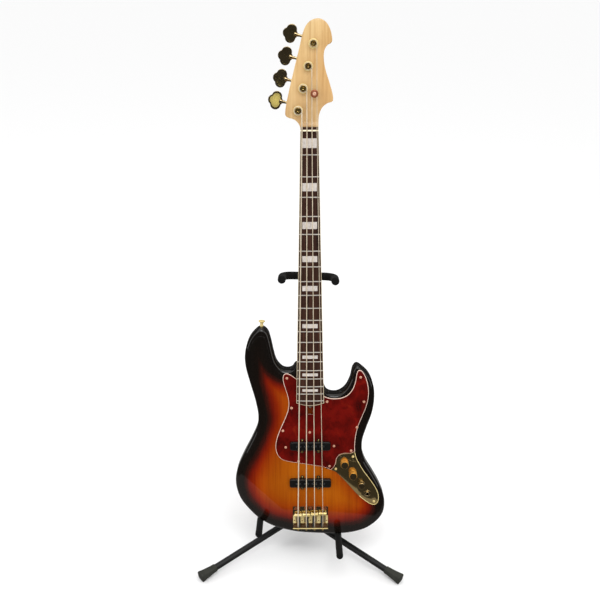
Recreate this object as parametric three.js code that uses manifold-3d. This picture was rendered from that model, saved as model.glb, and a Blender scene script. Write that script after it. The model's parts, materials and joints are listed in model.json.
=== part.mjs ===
// A four-string electric bass guitar leaning in a folding tripod stand.
// Units are millimetres: X to the right, Y away from the viewer, Z up, floor at Z = 0.
// Guitar pieces are drawn in the guitar's own frame: x across, u up the neck from the
// saddles, n out of the body face. Shaft pieces of the stand use the same kind of frame
// (x, u, n) without the guitar's small sideways tilt.
import * as THREE from "three";
import { mergeVertices } from "three/addons/utils/BufferGeometryUtils.js";
import { TessellateModifier } from "three/addons/modifiers/TessellateModifier.js";
import Module from "manifold-3d";

const wasm = await Module();
wasm.setup();

const DEG = Math.PI / 180;
const GAP = 0.3;

// ---------- placing ----------
const LEAN = 12 * DEG;
const SIDE_TILT = 2 * DEG;
const STAND_X = -4.2;
const STAND_YAW = 1.5 * DEG;
const HUB_CENTRE = [STAND_X, -51.2, 51];
const GUITAR_ORIGIN = [STAND_X + 22.2, -125.6, 123.3];

// ---------- guitar ----------
const SCALE = 864;
const BODY_THICK = 45;
const EDGE_RADIUS = 10;
const NUT_WIDTH = 38.1;
const HEEL_WIDTH = 62;
const FRET_COUNT = 20;
const FRET_WIDTH = 2.4;
const FRET_HEIGHT = 0.9;
const BOARD_END = 261;
const BOARD_TOP = 10;
const BOARD_BOTTOM = 4;
const BOARD_RADIUS = 241;
const NECK_TOP = BOARD_BOTTOM - GAP;
const NECK_BACK = -11.2;
const HEEL_BACK = -16;
const HEAD_FACE = -1.5;
const HEAD_THICK = 14;
const GUARD_TOP = 2.5;
const STRING_RADII = [1.3, 1.05, 0.85, 0.6];
const SADDLE_X = [-28.5, -9.5, 9.5, 28.5];
const NUT_X = [-15.75, -5.25, 5.25, 15.75];
const NUT_SLOT = 11.6;
const SADDLE_TOP = 14.5;
const POST_RADIUS = 6.3;
const POST_TOP = 11.5;
const NECK_PICKUP_U = 163;
const BRIDGE_PICKUP_U = 72.5;
const PICKUP_TOP = 9;
const KNOBS = [
  { x: 78, u: 122, radius: 9.3, height: 18 },
  { x: 97.5, u: 95, radius: 9.3, height: 18 },
  { x: 117, u: 70, radius: 8, height: 16 },
];
const JACK = { x: 131, u: 46 };
const POSTS = [0, 1, 2, 3].map((i) => ({ x: -23.8 + 10.77 * i, u: 906.2 + 45 * i }));
const KEY_AXIS = new THREE.Vector2(-0.974, 0.225);
const KEY_OFFSET = 11.5;
const KEY_N = -23.5;
const RETAINER = { x: 10.5, u: 940.6 };

// ---------- stand ----------
const SHAFT_N = -64;
const TUBE_RADIUS = 12.5;
const TUBE_WALL = 1.8;
const TUBE_BOTTOM = -66;
const TUBE_TOP = 372;
const INNER_RADIUS = TUBE_RADIUS - TUBE_WALL - GAP;
const INNER_BOTTOM = 210;
const YOKE_U = 551;
const YOKE_HALF = 57.5;
const YOKE_BAR_N = -20.3;
const YOKE_REACH = 58;
const YOKE_ROD = 4.5;
const FOAM_RADIUS = 8.8;
const LEG_PIVOT = 28;
const LEG_REACH = 284;
const LEG_END_Z = 9.5;
const LEG_ANGLE = 53.5 * DEG;
const LEG_WIDTH = 12.5;
const LEG_HEIGHT = 10.5;
const TONGUE_WIDTH = 8;
const BOOT_LENGTH = 42;
const ARM_ROD = 4.5;
const ARM_FOAM = 7.75;
const ARM_PIN = { x: 22, n: -60, u: -29 };
const ARMS = {
  left: { x: -94.8, u: -40, end: 45 },
  right: { x: 89.6, u: -66, end: 84 },
};

// ---------- materials ----------
const paint = (color, roughness, metalness = 0) =>
  new THREE.MeshStandardMaterial({ color, roughness, metalness });
const LACQUER = paint(0x8a2f10, 0.12);
const MAPLE = paint(0xe0b983, 0.35);
const ROSEWOOD = paint(0x3a211a, 0.5);
const BONE = paint(0xece6d2, 0.35);
const TORTOISE = paint(0x6e1713, 0.2);
const GOLD = paint(0xc9a24a, 0.18, 1);
const BLACK_PLASTIC = paint(0x111111, 0.35);
const STEEL = paint(0xb9bbbd, 0.25, 1);
const BLACK_METAL = paint(0x151515, 0.4, 0.6);
const FOAM = paint(0x1b1b1c, 0.9);
const RUBBER = paint(0x2c2d28, 0.8);

// ---------- solids ----------
function solid(geometry) {
  const g = geometry.clone();
  for (const name of Object.keys(g.attributes)) {
    if (name !== "position") g.deleteAttribute(name);
  }
  const merged = mergeVertices(g, 1e-4);
  return new wasm.Manifold(
    new wasm.Mesh({
      numProp: 3,
      vertProperties: new Float32Array(merged.attributes.position.array),
      triVerts: new Uint32Array(merged.index.array),
    }),
  );
}

const join = (...solids) => solids.reduce((a, b) => a.add(b));
const cut = (base, ...tools) => tools.reduce((a, b) => a.subtract(b), base);

function meshOf(name, shape, material) {
  const raw = shape.getMesh();
  const count = raw.vertProperties.length / raw.numProp;
  const points = new Float32Array(count * 3);
  for (let i = 0; i < count; i++) {
    points.set(raw.vertProperties.subarray(i * raw.numProp, i * raw.numProp + 3), i * 3);
  }
  const g = new THREE.BufferGeometry();
  g.setAttribute("position", new THREE.BufferAttribute(points, 3));
  g.setIndex(new THREE.BufferAttribute(new Uint32Array(raw.triVerts), 1));
  g.computeVertexNormals();
  const mesh = new THREE.Mesh(g, material);
  mesh.name = name;
  return mesh;
}

function box(x0, x1, y0, y1, z0, z1) {
  const g = new THREE.BoxGeometry(x1 - x0, y1 - y0, z1 - z0);
  g.translate((x0 + x1) / 2, (y0 + y1) / 2, (z0 + z1) / 2);
  return solid(g);
}

// A cylinder or cone between two points.
function rod(from, to, radius, sides = 20, endRadius = radius) {
  const a = new THREE.Vector3(...from);
  const b = new THREE.Vector3(...to);
  const axis = b.clone().sub(a);
  const g = new THREE.CylinderGeometry(endRadius, radius, axis.length(), sides);
  const turn = new THREE.Quaternion().setFromUnitVectors(
    new THREE.Vector3(0, 1, 0),
    axis.clone().normalize(),
  );
  g.applyQuaternion(turn);
  g.translate((a.x + b.x) / 2, (a.y + b.y) / 2, (a.z + b.z) / 2);
  return solid(g);
}

// A turned shape: profile is [radius, height] pairs, axis from a point along a direction.
function turned(profile, at, direction, sides = 24) {
  const g = new THREE.LatheGeometry(
    profile.map(([r, h]) => new THREE.Vector2(r, h)),
    sides,
  );
  g.applyQuaternion(
    new THREE.Quaternion().setFromUnitVectors(
      new THREE.Vector3(0, 1, 0),
      new THREE.Vector3(...direction).normalize(),
    ),
  );
  g.translate(...at);
  return solid(g);
}

// A flat outline in the x-u plane given thickness from n0 to n1.
function plate(outline, n0, n1) {
  const shape = new THREE.Shape(outline.map(([x, y]) => new THREE.Vector2(x, y)));
  const g = new THREE.ExtrudeGeometry(shape, { depth: n1 - n0, bevelEnabled: false });
  g.translate(0, 0, n0);
  return solid(g);
}

// A tube of one radius through a list of points, closed at both ends.
function tube(points, radius, sides = 8, taperEnds = 0) {
  const path = points.map((p) => new THREE.Vector3(...p));
  const last = path.length - 1;
  const tangents = path.map((p, i) =>
    path[Math.min(i + 1, last)].clone().sub(path[Math.max(i - 1, 0)]).normalize(),
  );
  const first = tangents[0];
  const helper = Math.abs(first.x) < 0.9 ? new THREE.Vector3(1, 0, 0) : new THREE.Vector3(0, 1, 0);
  let side = helper.sub(first.clone().multiplyScalar(helper.dot(first))).normalize();
  const positions = [];
  const index = [];
  path.forEach((p, i) => {
    if (i > 0) {
      const turn = new THREE.Quaternion().setFromUnitVectors(tangents[i - 1], tangents[i]);
      side = side.clone().applyQuaternion(turn).normalize();
    }
    const up = tangents[i].clone().cross(side).normalize();
    const rounded = taperEnds && (i === 0 || i === last);
    const r = rounded ? radius - taperEnds : radius;
    for (let k = 0; k < sides; k++) {
      const a = (k / sides) * 2 * Math.PI;
      const q = p.clone();
      q.addScaledVector(side, r * Math.cos(a));
      q.addScaledVector(up, r * Math.sin(a));
      positions.push(q.x, q.y, q.z);
    }
  });
  for (let i = 0; i < last; i++) {
    for (let k = 0; k < sides; k++) {
      const a = i * sides + k;
      const b = i * sides + ((k + 1) % sides);
      index.push(a, b, a + sides, b, b + sides, a + sides);
    }
  }
  const start = positions.length / 3;
  positions.push(path[0].x, path[0].y, path[0].z, path[last].x, path[last].y, path[last].z);
  for (let k = 0; k < sides; k++) {
    const next = (k + 1) % sides;
    index.push(start, next, k);
    index.push(start + 1, last * sides + k, last * sides + next);
  }
  const g = new THREE.BufferGeometry();
  g.setAttribute("position", new THREE.BufferAttribute(new Float32Array(positions), 3));
  g.setIndex(index);
  return solid(g);
}

// Triangles that fill a flat outline, each turning counter-clockwise.
function fill(points) {
  const flat = points.map(([x, y]) => new THREE.Vector2(x, y));
  return THREE.ShapeUtils.triangulateShape(flat, []).map(([a, b, c]) => {
    const ab = flat[b].clone().sub(flat[a]);
    const ac = flat[c].clone().sub(flat[a]);
    return ab.cross(ac) > 0 ? [a, b, c] : [a, c, b];
  });
}

function ring(at, direction, outer, inner, height, sides = 24) {
  return turned(
    [
      [inner, 0],
      [outer, 0],
      [outer, height],
      [inner, height],
      [inner, 0],
    ],
    at,
    direction,
    sides,
  );
}

// Points along a smooth curve through the given points.
function smooth(points, count, closed = false, tension = 0.5) {
  const curve = new THREE.CatmullRomCurve3(
    points.map(([x, y, z = 0]) => new THREE.Vector3(x, y, z)),
    closed,
    "centripetal",
    tension,
  );
  const made = curve.getSpacedPoints(count);
  if (closed) made.pop();
  return made.map((p) => [p.x, p.y, p.z]);
}

// A rounded rectangle outline centred at (cx, cy).
function roundRect(cx, cy, w, h, r, steps = 4) {
  const out = [];
  const corners = [
    [cx + w / 2 - r, cy + h / 2 - r, 0],
    [cx - w / 2 + r, cy + h / 2 - r, 90],
    [cx - w / 2 + r, cy - h / 2 + r, 180],
    [cx + w / 2 - r, cy - h / 2 + r, 270],
  ];
  for (const [x, y, start] of corners) {
    for (let i = 0; i <= steps; i++) {
      const a = (start + (90 * i) / steps) * DEG;
      out.push([x + r * Math.cos(a), y + r * Math.sin(a)]);
    }
  }
  return out;
}

// A straight slot outline with round ends.
function stadium(ax, ay, bx, by, r, steps = 8) {
  const along = Math.atan2(by - ay, bx - ax);
  const out = [];
  for (let i = 0; i <= steps; i++) {
    const a = along - Math.PI / 2 + (Math.PI * i) / steps;
    out.push([bx + r * Math.cos(a), by + r * Math.sin(a)]);
  }
  for (let i = 0; i <= steps; i++) {
    const a = along + Math.PI / 2 + (Math.PI * i) / steps;
    out.push([ax + r * Math.cos(a), ay + r * Math.sin(a)]);
  }
  return out;
}

const neckWidth = (u) =>
  NUT_WIDTH + ((HEEL_WIDTH - NUT_WIDTH) * (SCALE - u)) / (SCALE - BOARD_END);
const stringX = (i, u) => SADDLE_X[i] + ((NUT_X[i] - SADDLE_X[i]) * u) / SCALE;

// ---------- body ----------
const BODY_OUTLINE = [
  [0, -57],
  [-32, -54],
  [-62, -48],
  [-92, -39],
  [-121, -23],
  [-143, -2],
  [-161, 22],
  [-170, 46],
  [-173, 72],
  [-168, 102],
  [-152, 140],
  [-133, 178],
  [-120, 210],
  [-118, 232],
  [-123, 264],
  [-135, 309],
  [-144, 345],
  [-146, 372],
  [-140, 402],
  [-128, 423],
  [-109, 437],
  [-95, 428],
  [-88, 408],
  [-82, 380],
  [-75, 357],
  [-62, 342],
  [-50, 339],
  [-40, 342],
  [-33, 351],
  [-20, 350],
  [0, 346],
  [20, 340],
  [29, 328],
  [30.5, 302],
  [38, 287],
  [50, 282.5],
  [64, 284],
  [79, 295],
  [90, 316],
  [97, 343],
  [105, 350],
  [117, 343],
  [133, 326],
  [143, 301],
  [145, 272],
  [140, 238],
  [127, 200],
  [119, 172],
  [119, 146],
  [127, 120],
  [142, 94],
  [159, 63],
  [169, 38],
  [172, 16],
  [168, -7],
  [155, -26],
  [132, -44],
  [108, -53],
  [80, -58],
  [40, -58.5],
];

// How far the face drops toward the forearm side, and the back rises at the belly side.
function forearmDrop(x, u) {
  const past = (x + 150) * -0.875 + (u - 160) * -0.484;
  return past > 0 ? (past * past) / 400 : 0;
}

function bellyRise(x, u) {
  const inward = Math.min(Math.max((-52 - x) / 62, 0), 1);
  return 15 * inward * inward * Math.exp(-(((u - 222) / 85) ** 2));
}

function bodyBlank() {
  const count = 108;
  const outline = smooth(BODY_OUTLINE, count, true).map(([x, y]) => new THREE.Vector2(x, y));
  const inward = outline.map((p, i) => {
    const before = outline[(i + count - 1) % count];
    const after = outline[(i + 1) % count];
    const t = after.clone().sub(before).normalize();
    return new THREE.Vector2(t.y, -t.x);
  });
  // Tight convex turns take a smaller edge radius so the inner outline stays clean.
  let reach = outline.map((p, i) => {
    const a = inward[(i + count - 2) % count];
    const b = inward[(i + 2) % count];
    const turn = a.x * b.y - a.y * b.x;
    const span = outline[(i + count - 2) % count].distanceTo(outline[(i + 2) % count]);
    const radius = span / Math.max(Math.abs(turn), 1e-6);
    const underNeck = Math.abs(p.x) < 36 && p.y > 285;
    return Math.min(EDGE_RADIUS, 0.6 * radius, underNeck ? 1.2 : EDGE_RADIUS);
  });
  for (let pass = 0; pass < 3; pass++) {
    reach = reach.map((r, i) => {
      const before = reach[(i + count - 1) % count];
      const after = reach[(i + 1) % count];
      return Math.min(r, (before + r + after) / 3);
    });
  }
  const steps = 4;
  const rings = [];
  for (let k = 0; k <= steps; k++) {
    const a = (k / steps) * (Math.PI / 2);
    rings.push([1 - Math.sin(a), -EDGE_RADIUS * (1 - Math.cos(a))]);
  }
  for (let k = steps; k >= 0; k--) {
    const a = (k / steps) * (Math.PI / 2);
    rings.push([1 - Math.sin(a), -BODY_THICK + EDGE_RADIUS * (1 - Math.cos(a))]);
  }
  const positions = [];
  for (const [inset, n] of rings) {
    outline.forEach((p, i) => {
      const q = p.clone().addScaledVector(inward[i], inset * reach[i]);
      positions.push(q.x, q.y, n);
    });
  }
  const index = [];
  for (let k = 0; k + 1 < rings.length; k++) {
    for (let i = 0; i < count; i++) {
      const a = k * count + i;
      const b = k * count + ((i + 1) % count);
      index.push(a, b, a + count, b, b + count, a + count);
    }
  }
  const capOutline = outline.map((p, i) => p.clone().addScaledVector(inward[i], reach[i]));
  const back = (rings.length - 1) * count;
  for (const [a, b, c] of fill(capOutline.map((p) => [p.x, p.y]))) {
    index.push(a, b, c);
    index.push(back + a, back + c, back + b);
  }
  let g = new THREE.BufferGeometry();
  g.setAttribute("position", new THREE.BufferAttribute(new Float32Array(positions), 3));
  g.setIndex(index);
  g = new TessellateModifier(42, 30).modify(g.toNonIndexed());
  const at = g.attributes.position;
  for (let i = 0; i < at.count; i++) {
    const x = at.getX(i);
    const u = at.getY(i);
    const n = at.getZ(i);
    const depth = -n / BODY_THICK;
    const drop = forearmDrop(x, u) * Math.max(1 - 1.6 * depth, 0);
    const rise = bellyRise(x, u) * Math.max(1.6 * depth - 0.6, 0);
    at.setZ(i, n - drop + rise);
  }
  return solid(g);
}

function pickupOutline(cx, u, length) {
  return roundRect(cx, u, length, 19.5, 4.5, 4);
}

function body() {
  const half = HEEL_WIDTH / 2 + GAP + 0.2;
  const pocket = plate(
    [
      [-half, 258],
      [half, 258],
      [half - 2.2, 380],
      [-half + 2.2, 380],
    ],
    HEEL_BACK - GAP,
    5,
  );
  const trussSlot = box(-5.5, 5.5, 236, 260, -9, 5);
  const neckCavity = plate(roundRect(0, NECK_PICKUP_U, 97, 32, 6), -18, 5);
  const bridgeCavity = plate(roundRect(0, BRIDGE_PICKUP_U, 95.6, 20.1, 4.6), -18, 5);
  const controls = plate(stadium(79, 121, 131, 44, 15), -38, 5);
  const wireway = box(36, 72, 105, 150, -14, 1);
  return cut(bodyBlank(), pocket, trussSlot, neckCavity, bridgeCavity, controls, wireway);
}

// ---------- neck ----------
const HEAD_OUTLINE = [
  [-19.2, 868],
  [-19.8, 873],
  [-24, 881],
  [-31, 887.5],
  [-48.5, 894.2],
  [-51, 900.5],
  [-20, 1036],
  [-12.9, 1063.8],
  [-5.5, 1079],
  [6, 1088.5],
  [19.3, 1091],
  [31.5, 1086.5],
  [41, 1075],
  [46.8, 1056],
  [46.8, 1044.5],
  [38, 1039],
  [31.5, 1028],
  [30.3, 1010],
  [34, 988.6],
  [43.2, 959.8],
  [49.3, 936],
  [48.8, 925.5],
  [38, 921.5],
  [27, 912.5],
  [20.5, 898],
  [19, 880],
  [19.2, 868],
];

// Stations along the neck: place, how far back it reaches, how square its section is.
const NECK_STATIONS = [
  { u: 264.5, back: HEEL_BACK, square: 14 },
  { u: 340, back: HEEL_BACK, square: 14 },
  { u: 350, back: -15.4, square: 8 },
  { u: 362, back: -13.6, square: 4.5 },
  { u: 380, back: -12.2, square: 3 },
  { u: 402, back: -11.6, square: 2.4 },
  { u: 440, back: NECK_BACK, square: 2.2 },
  { u: 620, back: NECK_BACK, square: 2.1 },
  { u: 740, back: -10.6, square: 2.1 },
  { u: 840, back: -10.2, square: 2.1 },
  { u: 858, back: -11.2, square: 2.4 },
  { u: 872, back: -14.2, square: 4 },
  { u: 884, back: -15.4, square: 9 },
];

function neckSection(station) {
  const half = (neckWidth(Math.min(station.u, 868)) / 2) * 0.998;
  const arc = 12;
  const out = [];
  for (let i = 0; i <= arc; i++) {
    const a = Math.PI + (Math.PI * i) / arc;
    const c = Math.cos(a);
    const s = Math.sin(a);
    const e = 2 / station.square;
    const x = half * Math.sign(c) * Math.abs(c) ** e;
    const n = NECK_TOP - 2 + (NECK_TOP - 2 - station.back) * -(Math.abs(s) ** e);
    out.push([x, n]);
  }
  out.push([half, NECK_TOP]);
  out.push([-half, NECK_TOP]);
  return out;
}

// A solid through sections that share one point count; each section lies at one u.
function loft(sections) {
  const size = sections[0].points.length;
  const positions = [];
  for (const { u, points } of sections) {
    for (const [x, n] of points) positions.push(x, u, n);
  }
  const index = [];
  for (let k = 0; k + 1 < sections.length; k++) {
    for (let i = 0; i < size; i++) {
      const a = k * size + i;
      const b = k * size + ((i + 1) % size);
      index.push(a, a + size, b, b, a + size, b + size);
    }
  }
  for (const [a, b, c] of fill(sections[0].points)) index.push(a, b, c);
  const base = (sections.length - 1) * size;
  for (const [a, b, c] of fill(sections[sections.length - 1].points)) {
    index.push(base + a, base + c, base + b);
  }
  const g = new THREE.BufferGeometry();
  g.setAttribute("position", new THREE.BufferAttribute(new Float32Array(positions), 3));
  g.setIndex(index);
  return solid(g);
}

function neck() {
  const shaft = loft(NECK_STATIONS.map((s) => ({ u: s.u, points: neckSection(s) })));
  const scoop = rod([-60, 889, 20.5], [60, 889, 20.5], 22, 40);
  const aboveHead = box(-70, 70, 889, 1110, HEAD_FACE, 20);
  const head = plate(smooth(HEAD_OUTLINE, 60), HEAD_FACE - HEAD_THICK, NECK_TOP);
  let made = cut(join(shaft, head), cut(scoop, box(-70, 70, 840, 874, -20, 60)), aboveHead);
  for (const post of POSTS) {
    made = made.subtract(rod([post.x, post.u, -30], [post.x, post.u, 20], POST_RADIUS + GAP, 20));
  }
  const rodHole = rod([0, 250, -4], [0, 300, -4], 4.4, 16);
  return made.subtract(rodHole);
}

// ---------- fretboard ----------
// The cambered bar that shapes the board's face, and, raised, the tops of its frets.
function boardCrown(raise = 0) {
  const steps = 6;
  const points = [];
  for (let i = 0; i <= steps; i++) {
    const x = -36 + (72 * i) / steps;
    const camber = Math.sqrt(BOARD_RADIUS ** 2 - x * x);
    points.push([x, BOARD_TOP - BOARD_RADIUS + camber + raise]);
  }
  points.push([36, BOARD_BOTTOM]);
  points.push([-36, BOARD_BOTTOM]);
  const section = points.reverse();
  return loft([
    { u: 240, points: section },
    { u: 900, points: section },
  ]);
}

function fret(number) {
  const u = SCALE / 2 ** (number / 12);
  const half = neckWidth(u) / 2 - 0.6;
  return box(-half, half, u - FRET_WIDTH / 2, u + FRET_WIDTH / 2, BOARD_TOP - 4, BOARD_TOP + 4);
}

function fretboard() {
  const outline = [];
  const endHalf = HEEL_WIDTH / 2;
  const bulge = 6;
  for (let i = 0; i <= 12; i++) {
    const x = -endHalf + (2 * endHalf * i) / 12;
    outline.push([x, BOARD_END + bulge * (x / endHalf) ** 2]);
  }
  outline.push([neckWidth(SCALE) / 2, 873]);
  outline.push([-neckWidth(SCALE) / 2, 873]);
  let made = plate(outline, BOARD_BOTTOM, 14).intersect(boardCrown());
  made = made.subtract(box(-30, 30, SCALE - GAP, SCALE + 3.2 + GAP, 7, 20));
  const crown = boardCrown(FRET_HEIGHT);
  for (let number = 1; number <= FRET_COUNT; number++) {
    made = made.add(fret(number).intersect(crown));
  }
  return made;
}

function nut() {
  let made = box(-NUT_WIDTH / 2, NUT_WIDTH / 2, SCALE, SCALE + 3.2, 7 + GAP, 13);
  STRING_RADII.forEach((r, i) => {
    const x = stringX(i, SCALE);
    const slot = box(x - r - GAP, x + r + GAP, SCALE - 2, SCALE + 6, NUT_SLOT - GAP, 20);
    made = made.subtract(slot);
  });
  return made;
}

// ---------- body fittings ----------
const GUARD_LEFT = [
  [-31.6, 322],
  [-43, 330.5],
  [-52, 334],
  [-58.5, 332],
  [-61, 324],
  [-60, 313],
  [-55.5, 297],
  [-50.5, 280],
  [-48.5, 264],
  [-50, 249],
  [-56, 231],
  [-65, 210],
  [-73, 190],
  [-78, 172],
  [-79, 157],
  [-75.5, 142],
  [-66, 130],
  [-50, 124],
  [-25, 120],
  [0, 116],
  [22, 112],
  [38, 108],
  [47, 103.5],
];
const SEAM = [
  [47.5, 103.5],
  [54, 110],
  [58.5, 120],
  [60.5, 131],
  [67.5, 140],
  [79, 143.5],
  [91, 143.5],
  [101.5, 147.5],
];
const GUARD_RIGHT = [
  [102, 148],
  [101.5, 162],
  [103, 182],
  [108, 207],
  [117, 231],
  [126, 254],
  [131, 277],
  [131, 298],
  [127, 318],
  [120.5, 333],
  [113.5, 341],
  [107.5, 340.5],
  [104, 332],
  [101.5, 316],
  [96, 299],
  [86, 285],
  [73, 277.5],
  [58, 275],
  [44, 276],
  [31.6, 280],
];
const PLATE_EDGE = [
  [102, 147],
  [105, 134],
  [111, 121],
  [119, 107],
  [129, 92],
  [139, 78],
  [148, 64],
  [154, 52],
  [157.3, 40],
  [157, 29],
  [153.5, 21],
  [147, 17.5],
  [139, 19],
  [128, 26],
  [115, 36.5],
  [103, 49],
  [92, 62],
  [80, 76],
  [67, 90],
  [56, 100],
  [48, 103],
];
function pickguard() {
  const seam = smooth(SEAM, 14).map(([x, u]) => [x - 0.25, u + 0.25]);
  const outline = [...smooth(GUARD_LEFT, 44), ...seam, ...smooth(GUARD_RIGHT, 40)];
  const base = plate(outline, GAP, GUARD_TOP);
  const end = HEEL_WIDTH / 2 + 0.5;
  const pocket = plate(
    [
      [-end + 2.4, 345],
      [-end, 263.9],
      [-end * 0.6, 262],
      [0, 260.2],
      [end * 0.6, 262],
      [end, 263.9],
      [end - 2.4, 345],
    ],
    -1,
    6,
  );
  const notch = box(-5.5, 5.5, 238, 262, -1, 6);
  const window = plate(roundRect(0, NECK_PICKUP_U, 92.8, 20.3, 4.9), -1, 6);
  return cut(base, pocket, notch, window);
}

function controlPlate() {
  const outline = [...smooth(PLATE_EDGE, 42), ...smooth(SEAM, 14)];
  outline.forEach((p) => (p[0] += 0.1));
  let made = plate(outline.map(([x, u]) => [x + 0.15, u - 0.15]), GAP, GAP + 1.6);
  for (const knob of KNOBS) {
    made = made.subtract(rod([knob.x, knob.u, -3], [knob.x, knob.u, 5], 5, 20));
  }
  return made.subtract(rod([JACK.x, JACK.u, -3], [JACK.x, JACK.u, 5], 5.1, 20));
}

function pickup(u, length, earTop) {
  let made = plate(pickupOutline(0, u, length), -14, PICKUP_TOP);
  for (const x of [-18.5, 18.5]) {
    const ears = plate(stadium(x, u - 13, x, u + 13, 4.2, 6), earTop - 2.4, earTop);
    made = made.add(ears);
  }
  for (let i = 0; i < 4; i++) {
    for (const side of [-1, 1]) {
      const x = stringX(i, u) + side * 3.9;
      made = made.add(rod([x, u, PICKUP_TOP - 3], [x, u, PICKUP_TOP + 0.8], 2.4, 8));
    }
  }
  return made;
}

const BRIDGE = { half: 40.5, front: 13, lip: -38, plateTop: 2.3, lipTop: 12.5 };

function bridgePlate() {
  const base = box(-BRIDGE.half, BRIDGE.half, BRIDGE.lip, BRIDGE.front, GAP, BRIDGE.plateTop);
  const lip = box(-BRIDGE.half, BRIDGE.half, BRIDGE.lip, BRIDGE.lip + 2.2, GAP, BRIDGE.lipTop);
  let made = join(base, lip);
  STRING_RADII.forEach((r, i) => {
    const hole = rod(
      [SADDLE_X[i], BRIDGE.lip - 4, 6.6],
      [SADDLE_X[i], BRIDGE.lip + 6, 6.6 + 2.2],
      r + 0.5,
      12,
    );
    made = made.subtract(hole);
  });
  return made;
}

const BARREL = 4.2;
const SADDLE_U = [-5, -4, -2.5, -1];

function saddle(i) {
  const x = SADDLE_X[i];
  const u = SADDLE_U[i];
  const n = SADDLE_TOP - GAP - BARREL;
  const barrel = rod([x - 8.8, u, n], [x + 8.8, u, n], BARREL, 20);
  const screws = [-6, 6].map((dx) =>
    rod([x + dx, u, BRIDGE.plateTop + GAP], [x + dx, u, n], 1.5, 10),
  );
  return join(barrel, ...screws);
}

function controlKnob(knob) {
  const base = GAP + 1.6 + 0.5;
  const r = knob.radius;
  const h = knob.height;
  return turned(
    [
      [3.3, 0],
      [r, 0],
      [r, 2.2],
      [r - 0.35, 2.6],
      [r - 0.5, h - 1.6],
      [r - 1.6, h - 0.2],
      [0, h],
      [0, h - 5],
      [3.3, h - 5],
      [3.3, 0],
    ],
    [knob.x, knob.u, base],
    [0, 0, 1],
    24,
  );
}

function pot(knob) {
  const top = GAP + 1.6 + 0.5 + knob.height - 5 - 0.5;
  return turned(
    [
      [0, -13],
      [12, -13],
      [12, -3],
      [4.7, -3],
      [4.7, 1.4],
      [3, 1.4],
      [3, top],
      [0, top],
    ],
    [knob.x, knob.u, 0],
    [0, 0, 1],
    14,
  );
}

function outputJack() {
  const top = GAP + 1.6 + GAP;
  return turned(
    [
      [3.2, -20],
      [8, -20],
      [8, -17],
      [4.7, -17],
      [4.7, top],
      [8, top],
      [8, top + 0.9],
      [6.6, top + 1.1],
      [6.6, top + 3.2],
      [4.7, top + 3.4],
      [4.7, top + 4.4],
      [3.2, top + 4.4],
      [3.2, -20],
    ],
    [JACK.x, JACK.u, 0],
    [0, 0, 1],
    16,
  );
}

function strapButton(at, direction, size = 1) {
  return turned(
    [
      [0, 0],
      [4.6, 0],
      [3.6, 2.5],
      [3.4, 7],
      [7.2, 10.4],
      [7.4, 12],
      [5.5, 13.2],
      [0, 13.6],
    ].map(([r, h]) => [r * size, h * size]),
    at,
    direction,
    18,
  );
}

function neckPlate() {
  const base = plate(roundRect(0, 305, 51, 64, 5), -BODY_THICK - 2.2, -BODY_THICK - GAP);
  const heads = [];
  for (const x of [-18.5, 18.5]) {
    for (const u of [280, 330]) {
      heads.push(rod([x, u, -BODY_THICK - 3.2], [x, u, -BODY_THICK - 1], 4.3, 16));
    }
  }
  return join(base, ...heads);
}

function trussRodNut() {
  const nutBody = rod([0, 252, -4], [0, 262, -4], 4, 6);
  const shank = rod([0, 260, -4], [0, 298, -4], 2.5, 12);
  return join(nutBody, shank);
}

// ---------- headstock fittings ----------
function tunerFrame(i) {
  const post = POSTS[i];
  const across = new THREE.Vector2(-KEY_AXIS.y, KEY_AXIS.x).multiplyScalar(-1);
  const gearX = post.x + across.x * KEY_OFFSET;
  const gearU = post.u + across.y * KEY_OFFSET;
  const along = (d, n = KEY_N) => [gearX + KEY_AXIS.x * d, gearU + KEY_AXIS.y * d, n];
  return { post, along };
}

function tunerHousing(i) {
  const { post, along } = tunerFrame(i);
  const back = HEAD_FACE - HEAD_THICK;
  const mount = plate(roundRect(post.x - 5, post.u + 4, 34, 38, 4, 2), back - 1.8, back - GAP);
  const carriage = [8, 15].map((d) => rod(along(d), along(d + 4), 5.4, 12));
  const pads = [8, 15].map((d) => {
    const [x, u] = along(d + 2);
    return box(x - 1.7, x + 1.7, u - 4, u + 4, KEY_N, back - 1);
  });
  const bores = [rod(along(2), along(24), 3.1, 10)];
  const hole = rod([post.x, post.u, -40], [post.x, post.u, 0], 5, 16);
  return cut(join(mount, ...carriage, ...pads), ...bores, hole);
}

function tunerPost(i) {
  const { post } = tunerFrame(i);
  return turned(
    [
      [0, -25.5],
      [7.8, -25.5],
      [7.8, -20.5],
      [4.6, -20.5],
      [4.6, -15],
      [POST_RADIUS - 0.1, -15],
      [POST_RADIUS - 0.1, 2],
      [POST_RADIUS - 0.9, 5],
      [POST_RADIUS - 0.1, 9],
      [POST_RADIUS - 0.1, POST_TOP - 0.8],
      [POST_RADIUS - 1, POST_TOP],
      [0, POST_TOP],
    ],
    [post.x, post.u, 0],
    [0, 0, 1],
    16,
  );
}

// A clover-shaped finger key on its worm shaft.
function tunerKey(i) {
  const { along } = tunerFrame(i);
  const shaft = rod(along(-6), along(48), 2.7, 10);
  const collar = rod(along(20), along(23), 4.4, 12);
  const flat = (d, side, r, thick) => {
    const [x, u] = along(d);
    const cx = x - KEY_AXIS.y * side;
    const cu = u + KEY_AXIS.x * side;
    return rod([cx, cu, KEY_N - thick], [cx, cu, KEY_N + thick], r, 16);
  };
  const lobes = [
    flat(50.5, 8.8, 10.4, 2.3),
    flat(50.5, -8.8, 10.4, 2.3),
    flat(56.5, 0, 10, 2.3),
    flat(47.5, 0, 9, 2.5),
  ];
  const stem = rod(along(31), along(43), 2.7, 10, 5);
  return join(shaft, collar, stem, ...lobes);
}

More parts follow.
